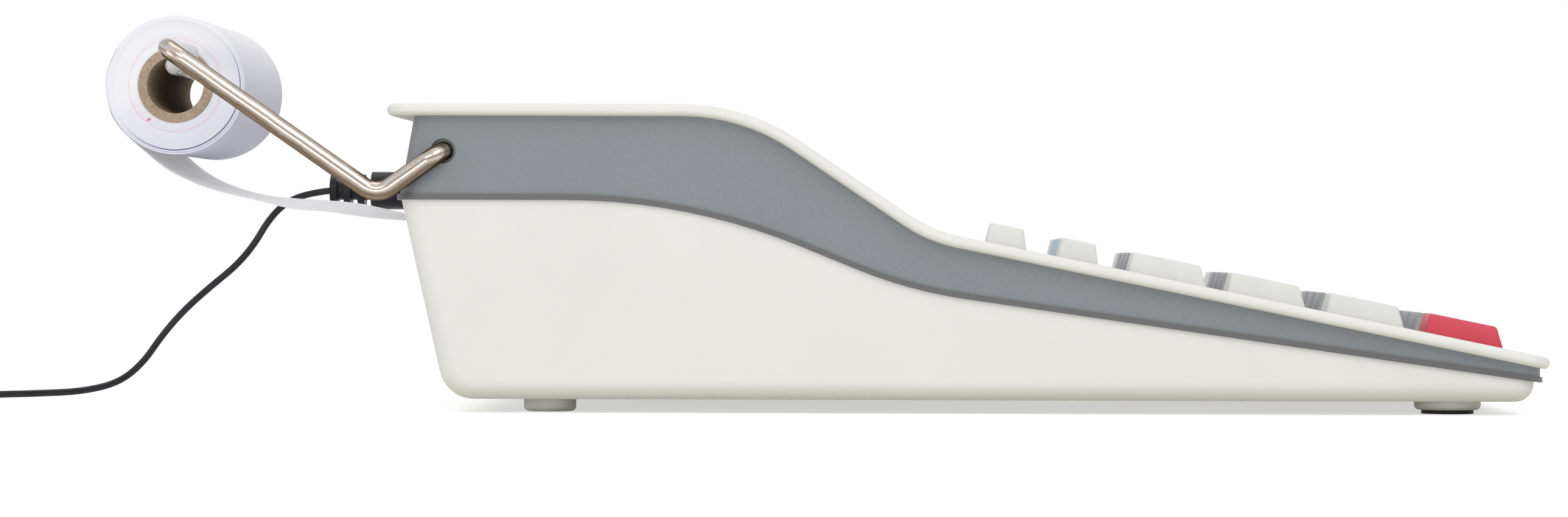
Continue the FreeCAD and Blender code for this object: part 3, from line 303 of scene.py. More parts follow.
def nickel(name):
    """Plated wire with painted reflections by the way it faces, dark brown below and pale highlight bands
    above, with pits, two tool marks at its elbow and a pale sleeve over its axle.
    """
    s = Shader(name)
    cloud = s.noise(140.0, detail=4.0, rough=0.6)
    pits = s.noise(2600.0, detail=2.0)
    # Painted light: the wire's tone follows which way its surface faces.
    upward = s.span(s.facing()["Z"], -1.0, 1.0, 0.0, 1.0)
    tone = s.ramp(s.math("ADD", upward, s.span(cloud, 0.3, 0.7, -0.05, 0.05)), WIRE_PAINTED_LIGHT_TONES)
    place = s.parts(s.place())
    inward = s.span(place["X"], -0.0725, -0.0695, 0.0, 1.0)
    rearward = s.span(place["Y"], 0.118, 0.122, 0.0, 1.0)
    sleeve = s.math("MULTIPLY", inward, rearward)
    tone = s.mix(sleeve, tone, SLEEVE_TONE)
    specks = s.math("SUBTRACT", s.span(pits, 0.60, 0.70, 0.0, 0.6), sleeve)
    tone = s.mix(s.math("MAXIMUM", specks, 0.0), tone, PIT_TONE)
    shine = s.span(cloud, 0.3, 0.75, 0.24, 0.13)
    normal = s.bump(pits, 0.1, 0.00003)
    normal = s.bump(cloud, 0.1, 0.0004, normal)
    lower_mark = s.blot((-74.2, 86.0, 47.9), (1.6, 0.34, 1.2), ELBOW_LEAN)
    upper_mark = s.blot((-74.2, 84.3, 49.2), (1.6, 0.3, 1.1), ELBOW_LEAN)
    normal = s.bump(s.math("MAXIMUM", lower_mark, upper_mark), -0.9, 0.0006, normal)
    return s.set(
        Base_Color=tone, Metallic=s.span(sleeve, 0.0, 1.0, 1.0, 0.15), Roughness=shine, Normal=normal,
        Specular_Tint=(0.34, 0.28, 0.23),
    )


def rubbery(name, colour, rough=0.7):
    """Rubber or soft cord cover with a fine dull grain."""
    s = Shader(name)
    fine = s.noise(1900.0, detail=2.0)
    cloud = s.noise(120.0, detail=3.0)
    tone = s.ramp(cloud, [(0.3, shade(colour, 0.75)), (0.7, shade(colour, 1.4))])
    normal = s.bump(fine, 0.25, 0.00004)
    shine = s.span(fine, 0.3, 0.7, rough - 0.08, rough + 0.08)
    return s.set(Base_Color=tone, Roughness=shine, Normal=normal, Specular_IOR_Level=0.25)


def paper_sheet(name):
    """Smooth white paper with faint fibres."""
    s = Shader(name)
    fibres = s.noise(1.0, detail=3.0, vector=s.stretched((900, 300, 300)))
    cloud = s.noise(60.0, detail=2.0)
    tone = s.ramp(cloud, [(0.3, (0.84, 0.835, 0.92)), (0.7, (0.88, 0.875, 0.95))])
    normal = s.bump(fibres, 0.08, 0.00003)
    s.bsdf.inputs["Subsurface Radius"].default_value = (1, 1, 1)
    return s.set(
        Base_Color=tone, Roughness=0.62, Normal=normal, Subsurface_Weight=0.9, Subsurface_Scale=0.002,
        Specular_IOR_Level=0.3,
    )


ROLL_WHITE = (0.88, 0.88, 0.925)
ROLL_SHADE = (0.80, 0.81, 0.90)
ROLL_TONES = [
    (0.0, (0.84, 0.82, 0.85)), (0.10, ROLL_WHITE), (0.26, ROLL_WHITE), (0.29, (0.92, 0.60, 0.73)),
    (0.325, ROLL_WHITE), (0.8, (0.87, 0.87, 0.92)), (1.0, ROLL_WHITE),
]
# Painted shadow in the gaps between the loose outer windings, multiplied into the end faces.
ROLL_GAP_SHADOW_TONES = [
    (0.78, ROLL_WHITE), (0.84, ROLL_SHADE), (0.865, (0.22, 0.23, 0.46)), (0.885, ROLL_SHADE),
    (0.92, ROLL_WHITE), (0.955, (0.62, 0.64, 0.80)), (0.975, ROLL_WHITE),
]
RED_SPOT = (0.75, 0.12, 0.28)


def wound_paper(name, centre, inner, outer):
    """The roll's end faces: layer lines, a pink ring, painted shadow lines in the gaps between the outer
    windings at the lower front and a red spot.
    """
    s = Shader(name)
    spot = s.stretched((1, 1, 1), centre)
    flat = s.add("VectorMath", operation="MULTIPLY")
    flat.inputs[1].default_value = (0, 1, 1)
    s.link(spot, flat.inputs[0])
    radius = s.length(flat.outputs["Vector"])
    share = s.span(radius, inner, outer, 0.0, 1.0)
    plain = s.ramp(share, ROLL_TONES)
    lines = s.ramp(share, ROLL_GAP_SHADOW_TONES)
    # Painted shadow: the gap lines darken the lower front only.
    lower_front = s.add("VectorMath", operation="DOT_PRODUCT")
    lower_front.inputs[1].default_value = (0, -0.6, -0.8)
    s.link(spot, lower_front.inputs[0])
    gap_shadow_share = s.span(lower_front.outputs["Value"], -0.004, 0.011, 0.0, 0.9)
    uneven = s.noise(240.0, detail=3.0)
    tone = s.mix(s.span(uneven, 0.3, 0.75, 0.0, 0.6), plain, ROLL_WHITE)
    tone = s.mix(gap_shadow_share, tone, lines, "MULTIPLY")
    tone = s.mix(s.blot((-28.5, 144.4, 61.9), (1.0, 0.75, 0.4), -0.6), tone, RED_SPOT)
    layers = s.noise(1.0, detail=1.0, vector=s.span(radius, 0.0, 0.001, 0.0, 9.0))
    normal = s.bump(layers, 0.15, 0.00006)
    normal = s.bump(s.noise(700.0), 0.06, 0.00004, normal)
    return s.set(Base_Color=tone, Roughness=0.65, Normal=normal, Specular_IOR_Level=0.25)


def cardboard(name):
    """Brown board with fibres along X."""
    s = Shader(name)
    fibres = s.noise(1.0, detail=4.0, rough=0.65, vector=s.stretched((500, 1600, 1600)))
    cloud = s.noise(260.0, detail=4.0, rough=0.6)
    tones = [(0.3, (0.30, 0.215, 0.145)), (0.55, (0.45, 0.35, 0.255)), (0.75, (0.55, 0.45, 0.345))]
    tone = s.ramp(fibres, tones)
    tone = s.mix(s.span(cloud, 0.4, 0.7, 0.0, 0.5), tone, (0.40, 0.31, 0.23))
    normal = s.bump(fibres, 0.5, 0.00012)
    return s.set(Base_Color=tone, Roughness=0.85, Normal=normal, Specular_IOR_Level=0.2)


def circuit(name):
    """Green lacquered board with a faint pattern of tracks."""
    s = Shader(name)
    tracks = s.add("TexBrick")
    tracks.inputs["Scale"].default_value = 300.0
    tracks.inputs["Mortar Size"].default_value = 0.06
    tracks.inputs["Color1"].default_value = (0.03, 0.20, 0.08, 1)
    tracks.inputs["Color2"].default_value = (0.035, 0.23, 0.095, 1)
    tracks.inputs["Mortar"].default_value = (0.06, 0.32, 0.14, 1)
    s.link(s.place(), tracks.inputs["Vector"])
    normal = s.bump(tracks.outputs["Fac"], 0.2, 0.00005)
    shine = s.span(s.noise(200.0), 0.3, 0.7, 0.28, 0.42)
    return s.set(Base_Color=tracks.outputs["Color"], Roughness=shine, Normal=normal)


def liquid_crystal(name):
    """The grey-green panel behind the window."""
    s = Shader(name)
    cloud = s.noise(40.0, detail=2.0)
    fine = s.noise(2500.0, detail=1.0)
    tone = s.ramp(cloud, [(0.3, (0.30, 0.335, 0.27)), (0.7, (0.345, 0.38, 0.31))])
    shine = s.span(fine, 0.3, 0.7, 0.22, 0.34)
    return s.set(Base_Color=tone, Roughness=shine, Normal=s.bump(fine, 0.05, 0.00002))


def window_glass(name):
    """Clear, slightly tinted window."""
    s = Shader(name)
    fine = s.noise(60.0, detail=2.0)
    shine = s.span(fine, 0.3, 0.7, 0.02, 0.06)
    tone = s.ramp(fine, [(0.3, (0.86, 0.88, 0.88)), (0.7, (0.90, 0.915, 0.915))])
    return s.set(Base_Color=tone, Transmission_Weight=1.0, Roughness=shine, IOR=1.45)


def ink(name, colour):
    """Printed marks, display segments and the inked roller."""
    s = Shader(name)
    fine = s.noise(2500.0, detail=2.0)
    tone = s.ramp(fine, [(0.3, shade(colour, 0.85)), (0.7, shade(colour, 1.2))])
    return s.set(Base_Color=tone, Roughness=s.span(fine, 0.3, 0.7, 0.45, 0.6))


ROLL_CENTRE = (0.0, 138.7 * MM, 69.4 * MM)
ROLL_HALF = 28.5
ROLL_IN = 8.1
ROLL_OUT = 15.0
materials = {
    # The cream plastic's `under` tone is painted shade on its downward faces.
    "cream_plastic": moulded("cream_plastic", (0.80, 0.79, 0.755), under=(0.68, 0.665, 0.56), grain=0.00045,
                             depth=0.00006, rough=0.48, speckle=0.02, strength=0.35),
    # The grey plastic's `bead` tone is painted shade on the band's bead.
    "grey_plastic": moulded("grey_plastic", (0.222, 0.24, 0.257), bead=(0.125, 0.127, 0.125), grain=0.0005,
                            depth=0.0001, rough=0.42, speckle=0.16, strength=0.6),
    "key_cream": satin("key_cream", (0.74, 0.74, 0.72)),
    "key_grey": satin("key_grey", (0.33, 0.34, 0.355)),
    "key_blue": satin("key_blue", (0.46, 0.58, 0.70)),
    "key_red": satin("key_red", (0.64, 0.05, 0.085)),
    "steel": drawn_metal("steel", (0.56, 0.56, 0.57), 0.3),
    "nickel_wire": nickel("nickel_wire"),
    "window": window_glass("window"),
    "display": liquid_crystal("display"),
    "circuit_board": circuit("circuit_board"),
    "rubber": rubbery("rubber", (0.022, 0.022, 0.024)),
    "ribbon": satin("ribbon", (0.66, 0.66, 0.64)),
    "gear_plastic": satin("gear_plastic", (0.72, 0.71, 0.67)),
    "brass_gear": drawn_metal("brass_gear", (0.72, 0.56, 0.28), 0.25),
    "black_plastic": moulded("black_plastic", (0.022, 0.022, 0.026), rough=0.45, speckle=0.01),
    "plug_plastic": moulded("plug_plastic", (0.012, 0.012, 0.016), rough=0.34, speckle=0.01, strength=0.2,
                            gloss=0.2),
    "ink": ink("ink", (0.06, 0.03, 0.14)),
    "paper": paper_sheet("paper"),
    "cardboard": cardboard("cardboard"),
    "cord": rubbery("cord", (0.02, 0.02, 0.026), rough=0.42),
}
roll_paper = wound_paper("roll_paper", ROLL_CENTRE, ROLL_IN * MM, ROLL_OUT * MM)
mark_dark = ink("mark_dark", (0.05, 0.055, 0.065))
mark_pale = ink("mark_pale", (0.82, 0.82, 0.82))
segment_dark = ink("segment_dark", (0.03, 0.035, 0.03))
segment_faint = ink("segment_faint", (0.255, 0.285, 0.225))

for row in record["subparts"]:
    holder = nodes[row["node"]]
    material = materials[row["material_slot"]]
    for slot in holder.material_slots:
        slot.link = "OBJECT"
        slot.material = material
    if not holder.material_slots:
        holder.data.materials.append(material)


# Mesh helpers

def link_mesh(name, bm, mats, smooth=True):
    """Make an object of a mesh under construction, with its faces turned outwards."""
    mesh = bpy.data.meshes.new(name)
    bmesh.ops.recalc_face_normals(bm, faces=bm.faces)
    bm.to_mesh(mesh)
    bm.free()
    for material in mats:
        mesh.materials.append(material)
    for polygon in mesh.polygons:
        polygon.use_smooth = smooth
    obj = bpy.data.objects.new(name, mesh)
    scene.collection.objects.link(obj)
    return obj


def sharp_by_angle(obj, degrees):
    """Keep edges crisp where faces meet at more than an angle, smooth elsewhere."""
    mesh = obj.data
    bm = bmesh.new()
    bm.from_mesh(mesh)
    limit = math.radians(degrees)
    for edge in bm.edges:
        edge.smooth = not (edge.is_manifold and edge.calc_face_angle(0.0) > limit)
    bm.to_mesh(mesh)
    bm.free()


def skin(bm, rows):
    """Faces between rows of points that each go once round."""
    count = len(rows[0])
    faces = []
    for lower, upper in zip(rows, rows[1:]):
        for i in range(count):
            j = (i + 1) % count
            faces.append(bm.faces.new((lower[i], lower[j], upper[j], upper[i])))
    return faces


def loft(bm, rings, material=0):
    """A solid through rings of equal count, closed at both ends; each ring is a list of points."""
    rows = [[bm.verts.new(p) for p in ring] for ring in rings]
    faces = skin(bm, rows)
    faces.append(bm.faces.new(rows[0][::-1]))
    faces.append(bm.faces.new(rows[-1]))
    for face in faces:
        face.material_index = material


def loft_ring(bm, rings):
    """A ring-shaped solid: the last of the rings joins the first."""
    rows = [[bm.verts.new(p) for p in ring] for ring in rings]
    skin(bm, rows + rows[:1])


def quarter_turn(steps):
    """Angles from nought to a quarter turn."""
    return [i / steps * math.pi / 2 for i in range(steps + 1)]


def rounded_rectangle(wide, long, radius, steps=6):
    """Corner-rounded outline about the origin, counter-clockwise."""
    points = []
    for corner in range(4):
        sx = (1, -1, -1, 1)[corner]
        sy = (1, 1, -1, -1)[corner]
        for i in range(steps + 1):
            angle = (corner + i / steps) * math.pi / 2
            points.append((
                sx * (wide / 2 - radius) + radius * math.cos(angle),
                sy * (long / 2 - radius) + radius * math.sin(angle),
            ))
    return points


# Cord: plug to coil to adapter, one spline

CORD = 1.6
RUN_ROUTE = [
    (50.0, 115.2, 47.8), (50.0, 121.3, 47.1), (49.8, 126.7, 44.4), (49.6, 130.3, 40.2), (49.4, 133.0, 35.4),
    (48.9, 137.2, 30.2), (48.2, 143.5, 25.0), (47.4, 149.6, 19.4), (46.6, 154.4, 13.6), (45.2, 158.4, 7.4),
    (42.0, 163.4, 2.9), (36.0, 170.6, 1.05), (28.0, 178.9, 0.8), (18.0, 187.6, 0.8), (6.0, 197.5, 0.8),
    (-5.0, 207.5, 0.8), (-10.5, 219.5, 0.8), (-10.5, 231.0, 0.8),
]
LEAD_DROP = [(0.0, 9.0, 0.0), (1.5, 19.0, -0.8), (6.0, 29.0, -3.1), (14.0, 37.0, -5.4), (25.0, 41.5, -6.3)]
LEAD_END = [(37.0, 42.0, -6.3), (49.0, 42.0, -4.6), (60.0, 42.0, -1.8), (71.0, 42.0, 0.2)]
COIL_OUT = 16.0
COIL_PITCH = 2.1
COIL_HALVES = 8
COIL_LAYERS = 4
POINTS_PER_HALF = 8


def coil_turns():
    """Radius and climb of each half turn: in, out, in and out again, one layer up at each reversal."""
    step = COIL_PITCH / 2
    turns = []
    for layer in range(COIL_LAYERS):
        radii = [COIL_OUT - step * k for k in range(COIL_HALVES)]
        if layer % 2:
            radii.reverse()
        turns += [(radius, 0.0) for radius in radii]
        if layer < COIL_LAYERS - 1:
            turns.append((COIL_OUT + step if layer % 2 else COIL_OUT - step * COIL_HALVES, COIL_PITCH))
    turns.append((COIL_OUT + step, 0.0))
    return turns


def coil_points(start):
    """Spline points of the coil, set out a little so that the spline itself has the turns' radii."""
    spread = 1 / math.cos(math.pi / POINTS_PER_HALF / 2)
    point = Vector(start) + Vector((0, CORD, 0))
    side = 1
    points = []
    for radius, climb in coil_turns():
        centre = point + Vector((-side * radius, 0, 0))
        for j in range(POINTS_PER_HALF):
            share = (j + 0.5) / POINTS_PER_HALF
            angle = share * math.pi
            reach = side * radius * spread
            points.append(centre + Vector((reach * math.cos(angle), reach * math.sin(angle), climb * share)))
        point = centre + Vector((-side * radius, 0, climb))
        side = -side
    return points, point + Vector((0, CORD, 0))


def make_cord():
    """The whole cord as one spline, and the place where it enters the adapter."""
    coil, last = coil_points(RUN_ROUTE[-1])
    lead = [last] + [last + Vector(p) for p in LEAD_DROP + LEAD_END]
    route = [Vector(p) for p in RUN_ROUTE] + coil + lead
    data = bpy.data.curves.new("power_cord", "CURVE")
    data.dimensions = "3D"
    data.bevel_depth = CORD / 2 * MM
    data.bevel_resolution = 3
    data.use_fill_caps = True
    data.resolution_u = 5
    spline = data.splines.new("NURBS")
    spline.points.add(len(route) - 1)
    for target, p in zip(spline.points, route):
        target.co = (*(p * MM), 1.0)
    spline.order_u = 3
    spline.use_endpoint_u = True
    data.materials.append(materials["cord"])
    cord = bpy.data.objects.new("power_cord", data)
    scene.collection.objects.link(cord)
    return cord, lead[-1]


TIE_SPARE = 0.2
TIE_OVER = 0.25
TIE_LIFT = 0.02
TIE_WIDE = 4.5
TIE_THICK = 0.25
TIE_CORNER = 1.6
TIE_CORNER_IN = 1.4


def make_tie():
    """A flat strap round the coil's bundle on the side away from the lead."""
    across = RUN_ROUTE[-1][1] + CORD
    inner = COIL_OUT - COIL_PITCH / 2 * COIL_HALVES - CORD / 2 - TIE_SPARE
    outer = COIL_OUT + COIL_PITCH / 2 + CORD / 2 + TIE_SPARE
    centre_x = RUN_ROUTE[-1][0] - COIL_OUT
    tall = CORD + COIL_PITCH * (COIL_LAYERS - 1) + TIE_OVER
    wide = outer - inner
    outside = rounded_rectangle(wide, tall, TIE_CORNER, steps=5)
    inside = rounded_rectangle(wide - 2 * TIE_THICK, tall - 2 * TIE_THICK, TIE_CORNER_IN, steps=5)
    half = TIE_WIDE / 2
    bm = bmesh.new()
    rings = []
    for points, y in ((outside, -half), (outside, half), (inside, half), (inside, -half)):
        rings.append([
            Vector((centre_x - (inner + outer) / 2 + px, across + y, tall / 2 + TIE_LIFT + pz)) * MM
            for px, pz in points
        ])
    loft_ring(bm, rings)
    tie = link_mesh("cord_tie", bm, [materials["rubber"]], smooth=False)
    return tie


ADAPTER_WIDE = 42.0
ADAPTER_DEEP = 56.0
ADAPTER_TALL = 30.0
ADAPTER_ROUND = 2.2
ADAPTER_CORNER = 3.2
ADAPTER_CORNER_LEAST = 0.6
ADAPTER_SEAM = 17.0
SEAM_GROOVE = [(0.0, -0.6), (0.45, -0.35), (0.45, 0.35), (0.0, 0.6)]
PRONG_STATIONS = [(41.5, 0.0), (56.4, 0.0), (57.6, 0.45), (58.0, 0.75)]
PRONG_WIDE = 6.3
PRONG_THICK = 1.5
PRONG_APART = 6.35
PRONG_POINT = 0.6
RELIEF_AWAY = (-11.0, 0.0, -2.0)
RELIEF_COLLAR = [(-1.0, 3.6), (1.2, 3.6), (1.7, 2.7), (2.4, 2.7)]
RELIEF_FIRST = 2.4
RELIEF_PITCH = 3.0
RELIEF_RIBS = 4
RELIEF_RADIUS = 2.9
RELIEF_TAPER = 0.3
RELIEF_END = (16.0, 1.35)
RELIEF_SIDES = 24


def make_housing(entry):
    """Two shells with a parting groove and soft edges."""
    levels = [
        (ADAPTER_ROUND * (1 - math.sin(angle)), ADAPTER_ROUND * (1 - math.cos(angle)))
        for angle in quarter_turn(5)
    ]
    groove = [(inset, ADAPTER_SEAM + z) for inset, z in SEAM_GROOVE]
    top = [(inset, ADAPTER_TALL - z) for inset, z in reversed(levels)]
    rings = []
    for inset, z in levels + groove + top:
        corner = max(ADAPTER_CORNER - inset, ADAPTER_CORNER_LEAST)
        outline = rounded_rectangle(ADAPTER_DEEP - 2 * inset, ADAPTER_WIDE - 2 * inset, corner, steps=6)
        rings.append([Vector((entry.x + ADAPTER_WIDE / 2 - py, entry.y + px, z)) * MM for px, py in outline])
    bm = bmesh.new()
    loft(bm, rings)
    housing = link_mesh("adapter_housing", bm, [materials["plug_plastic"]])
    sharp_by_angle(housing, 35)
    return housing


def make_prongs(entry):
    """Two flat blades with drawn-in points."""
    bm = bmesh.new()
    for side in (-1, 1):
        rings = []
        for x, inset in PRONG_STATIONS:
            half_wide = PRONG_WIDE / 2 - inset
            half_thick = PRONG_THICK / 2 - inset * PRONG_POINT
            middle_y = entry.y + side * PRONG_APART
            rings.append([
                Vector((entry.x + x, middle_y + sy * half_thick, ADAPTER_TALL / 2 + sz * half_wide)) * MM
                for sy, sz in ((-1, -1), (1, -1), (1, 1), (-1, 1))
            ])
        loft(bm, rings)
    return link_mesh("adapter_prongs", bm, [materials["steel"]], smooth=False)


def make_relief(entry):
    """A ribbed strain relief that thins out along the cord."""
    away = Vector(RELIEF_AWAY).normalized()
    level = Vector((0, 1, 0))
    up = level.cross(away)
    stations = list(RELIEF_COLLAR)
    for i in range(RELIEF_RIBS):
        near = RELIEF_FIRST + i * RELIEF_PITCH
        grow = RELIEF_RADIUS - RELIEF_TAPER * i
        stations += [(near + 0.2, grow), (near + 1.9, grow - 0.15), (near + 2.1, 1.65), (near + 2.8, 1.6)]
    stations.append(RELIEF_END)
    rings = []
    for along, radius in stations:
        middle = entry + away * along
        rings.append([
            (middle + level * (radius * math.cos(a)) + up * (radius * math.sin(a))) * MM
            for a in (2 * math.pi * k / RELIEF_SIDES for k in range(RELIEF_SIDES))
        ])
    bm = bmesh.new()
    loft(bm, rings)
    relief = link_mesh("adapter_relief", bm, [materials["plug_plastic"]])
    sharp_by_angle(relief, 40)
    return relief


cord, entry = make_cord()
tie = make_tie()
housing = make_housing(entry)
prongs = make_prongs(entry)
relief = make_relief(entry)
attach(cord, "base")
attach(tie, "base")
for piece in (housing, prongs, relief):
    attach(piece, "base")
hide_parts("cord_run", "cord_coil", "adapter_lead")
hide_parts("power_adapter")


# Keys

FLAT_TOP = 64.1
DISPLAY_TILT = math.radians(33.9)
KEY_TILT = math.radians(11.48)
KNEE = Vector((0.0, -25.4, FLAT_TOP - 38.7 * math.tan(DISPLAY_TILT)))
DOWN_SLOPE = Vector((0.0, -math.cos(KEY_TILT), -math.sin(KEY_TILT)))
OFF_SLOPE = Vector((0.0, -math.sin(KEY_TILT), math.cos(KEY_TILT)))
KEY_WIDE = 15.0
KEY_LONG = 17.0
KEY_SHORT = 8.9
KEY_SMALL = 7.0
KEY_RISE = 4.35
SIDE_DRAW = 1.0
BACK_DRAW = 0.25
FRONT_DRAW = 2.2
SHORT_DRAW = 1.4
KEY_CROWN = 0.5
KEY_CORNER = 0.6
KEY_DISH = 0.35
KEY_SKIRT = 2.8
FLANGE_REACH = 1.0
FLANGE_TALL = 1.1
FLANGE_CORNER = 1.2
DISH_SHARES = (0.92, 0.8, 0.6, 0.4, 0.2)
DISH_ENDS = 0.35
KEY_STEPS = 5
MARK_THICK = 0.06
MARK_LIFT = 0.01
MARK_MERGE = 0.0005
MARK_SIZES = {1: (6.4, 0.52), 2: (4.6, 0.44)}
LONG_MARK = (3.4, 0.36)
ROW_PITCH = 21.5
COLUMNS = [-39.0, -15.5, 2.7, 20.9, 39.1]
ROWS = [16.0, 31.6, 51.1, 72.6, 94.1, 115.6]
SMALL_ROW = 16.7
KEYS = [
    [("key_print", "P"), ("key_rate", "RATE"), ("key_item", "ITEM"), ("key_round_off", "5/4"),
     ("key_feed", "^")],
    [("key_tax", "TAX"), ("key_grand_total", "GT"), ("key_mark_up", "MU"), ("key_sign", "+/-"),
     ("key_back", ">")],
    [("key_percent", "%"), ("key_7", "7"), ("key_8", "8"), ("key_9", "9"), ("key_divide", "÷")],
    [("key_memory_total", "MT"), ("key_4", "4"), ("key_5", "5"), ("key_6", "6"), ("key_multiply", "×")],
    [("key_memory_plus", "M+"), ("key_1", "1"), ("key_2", "2"), ("key_3", "3"), ("key_plus", "+")],
    [("key_clear", "C"), ("key_0", "0"), ("key_00", "00"), ("key_point", ".")],
]
PALE_MARKS = ("key_grey", "key_red")
slot_of = {row["node"]: row["material_slot"] for row in record["subparts"]}


def on_slope(x, u, n):
    """A place on the keyboard: across, down the slope from the knee, and off the slope."""
    return (KNEE + Vector((x, 0, 0)) + DOWN_SLOPE * u + OFF_SLOPE * n) * MM


def dish(x, y, half_wide, half_long):
    """Depth of the hollow in a key's top, a shallow trough across it with soft ends."""
    fx = max(0.0, 1 - (x / half_wide) ** 2)
    fy = max(0.0, 1 - (y / half_long) ** 2)
    return KEY_DISH * fx * (DISH_ENDS + (1 - DISH_ENDS) * fy)


def mark_size(mark, long):
    """Height of a mark's letters, by how many there are and how long the key is."""
    most, share = MARK_SIZES.get(len(mark), LONG_MARK)
    return min(most, long * share)


def legend_mesh(text, size):
    """A thin solid of a short mark about its own middle, in millimetres."""
    data = bpy.data.curves.new("mark", "FONT")
    data.body = text
    data.size = size
    data.extrude = MARK_THICK / 2
    data.align_x = "CENTER"
    data.align_y = "CENTER"
    data.resolution_u = 4
    holder = bpy.data.objects.new("mark", data)
    scene.collection.objects.link(holder)
    bpy.context.view_layer.update()
    mesh = bpy.data.meshes.new_from_object(holder.evaluated_get(bpy.context.evaluated_depsgraph_get()))
    bpy.data.objects.remove(holder)
    bpy.data.curves.remove(data)
    return mesh


def key_ring(height, long, front, share):
    """Outline of a key at a height, drawn in by a share of its full draw on each side; +Y is its back."""
    wide = KEY_WIDE - 2 * SIDE_DRAW * share
    deep = long - (front + BACK_DRAW) * share
    shift = (front - BACK_DRAW) * share / 2
    outline = rounded_rectangle(wide, deep, KEY_CORNER, KEY_STEPS)
    return [Vector((px, py + shift, height)) for px, py in outline]


def add_mark(bm, mark, long, middle, half_wide, half_long):
    """Lay a mark into the hollow of a key's top, as the key's second material."""
    mesh = legend_mesh(mark, mark_size(mark, long))
    extra = bmesh.new()
    extra.from_mesh(mesh)
    bpy.data.meshes.remove(mesh)
    bmesh.ops.remove_doubles(extra, verts=extra.verts, dist=MARK_MERGE)
    copies = {}
    for v in extra.verts:
        top = KEY_RISE - dish(v.co.x, v.co.y, half_wide, half_long)
        copies[v] = bm.verts.new((v.co.x, middle + v.co.y, top + MARK_LIFT + v.co.z))
    for face in extra.faces:
        made = bm.faces.new([copies[v] for v in face.verts])
        made.material_index = 1
    extra.free()


def make_key(name, mark, x, u, long, front):
    """A key cap: flange and skirt under the cover, drawn sides, softly rounded crown and a shallow dish."""
    low = -KEY_SKIRT
    flange = rounded_rectangle(KEY_WIDE + 2 * FLANGE_REACH, long + 2 * FLANGE_REACH, FLANGE_CORNER, KEY_STEPS)
    rings = [[Vector((px, py, n)) for px, py in flange] for n in (low - FLANGE_TALL, low)]
    rings += [key_ring(n, long, front, max(0.0, n / KEY_RISE)) for n in (low, 0.0)]
    shoulder = KEY_RISE - KEY_CROWN
    for angle in quarter_turn(5):
        height = shoulder + KEY_CROWN * math.sin(angle)
        ring = key_ring(height, long, front, height / KEY_RISE)
        half_wide = max(p.x for p in ring)
        back = max(p.y for p in ring)
        fore = min(p.y for p in ring)
        middle = (back + fore) / 2
        half_long = (back - fore) / 2
        shrink = KEY_CROWN * (1 - math.cos(angle))
        keep_x = 1 - shrink / half_wide
        keep_y = 1 - shrink / half_long
        rings.append([Vector((p.x * keep_x, middle + (p.y - middle) * keep_y, p.z)) for p in ring])
    half_wide -= shrink
    half_long -= shrink
    for share in DISH_SHARES:
        wide = 2 * half_wide * share
        deep = 2 * half_long * share
        outline = rounded_rectangle(wide, deep, KEY_CORNER * share, KEY_STEPS)
        rings.append([
            Vector((px, middle + py, KEY_RISE - dish(px, py, half_wide, half_long))) for px, py in outline
        ])
    bm = bmesh.new()
    loft(bm, rings)
    add_mark(bm, mark, long, middle, half_wide, half_long)
    for v in bm.verts:
        v.co = on_slope(x + v.co.x, u - v.co.y, v.co.z)
    slot = slot_of[name]
    mark_ink = mark_pale if slot in PALE_MARKS else mark_dark
    key = link_mesh(name + "_cap", bm, [materials[slot], mark_ink])
    sharp_by_angle(key, 50)
    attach(key, name)
    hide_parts(name)


for row, names in enumerate(KEYS):
    for column, (name, mark) in enumerate(names):
        short = row < 2
        long = KEY_SHORT if short else KEY_LONG
        front = SHORT_DRAW if short else FRONT_DRAW
        middle = ROWS[row]
        if row == 0 and column > 0:
            long = KEY_SMALL
            middle = SMALL_ROW
        if name == "key_plus":
            long += ROW_PITCH
            middle += ROW_PITCH / 2
        make_key(name, mark, COLUMNS[column], middle, long, front)


# Paper roll and strip

ROLL_AROUND = 160
GROOVE_SHARE = 0.865
GROOVE_ANGLE = math.radians(233)
GROOVE_DEEP = 0.7
ROLL_SHARES = [
    0, 0.06, 0.13, 0.2, 0.28, 0.36, 0.44, 0.52, 0.6, 0.68, 0.76,
    0.82, 0.85, GROOVE_SHARE, 0.88, 0.91, 0.95, 0.98, 1.0,
]
TURNS_PER_MM = 2.2
FACE_INSET = 0.17
RIPPLE = 0.06
RIPPLE_FROM = 0.1
RIPPLE_TO = 0.95


def face_step(radius, angle):
    """How far the paper's edge lies in from the roll's end, stepped along a spiral."""
    turns = (radius - ROLL_IN) * TURNS_PER_MM - angle / (2 * math.pi)
    wave = 0.10 * math.sin(turns * 2.1) + 0.07 * math.sin(turns * 5.3 + 1.0)
    return FACE_INSET - wave


def groove(share, angle):
    """Depth of the gap under the looser outer winding, at the lower front."""
    return GROOVE_DEEP * max(0.0, math.cos(angle - GROOVE_ANGLE)) if share == GROOVE_SHARE else 0.0


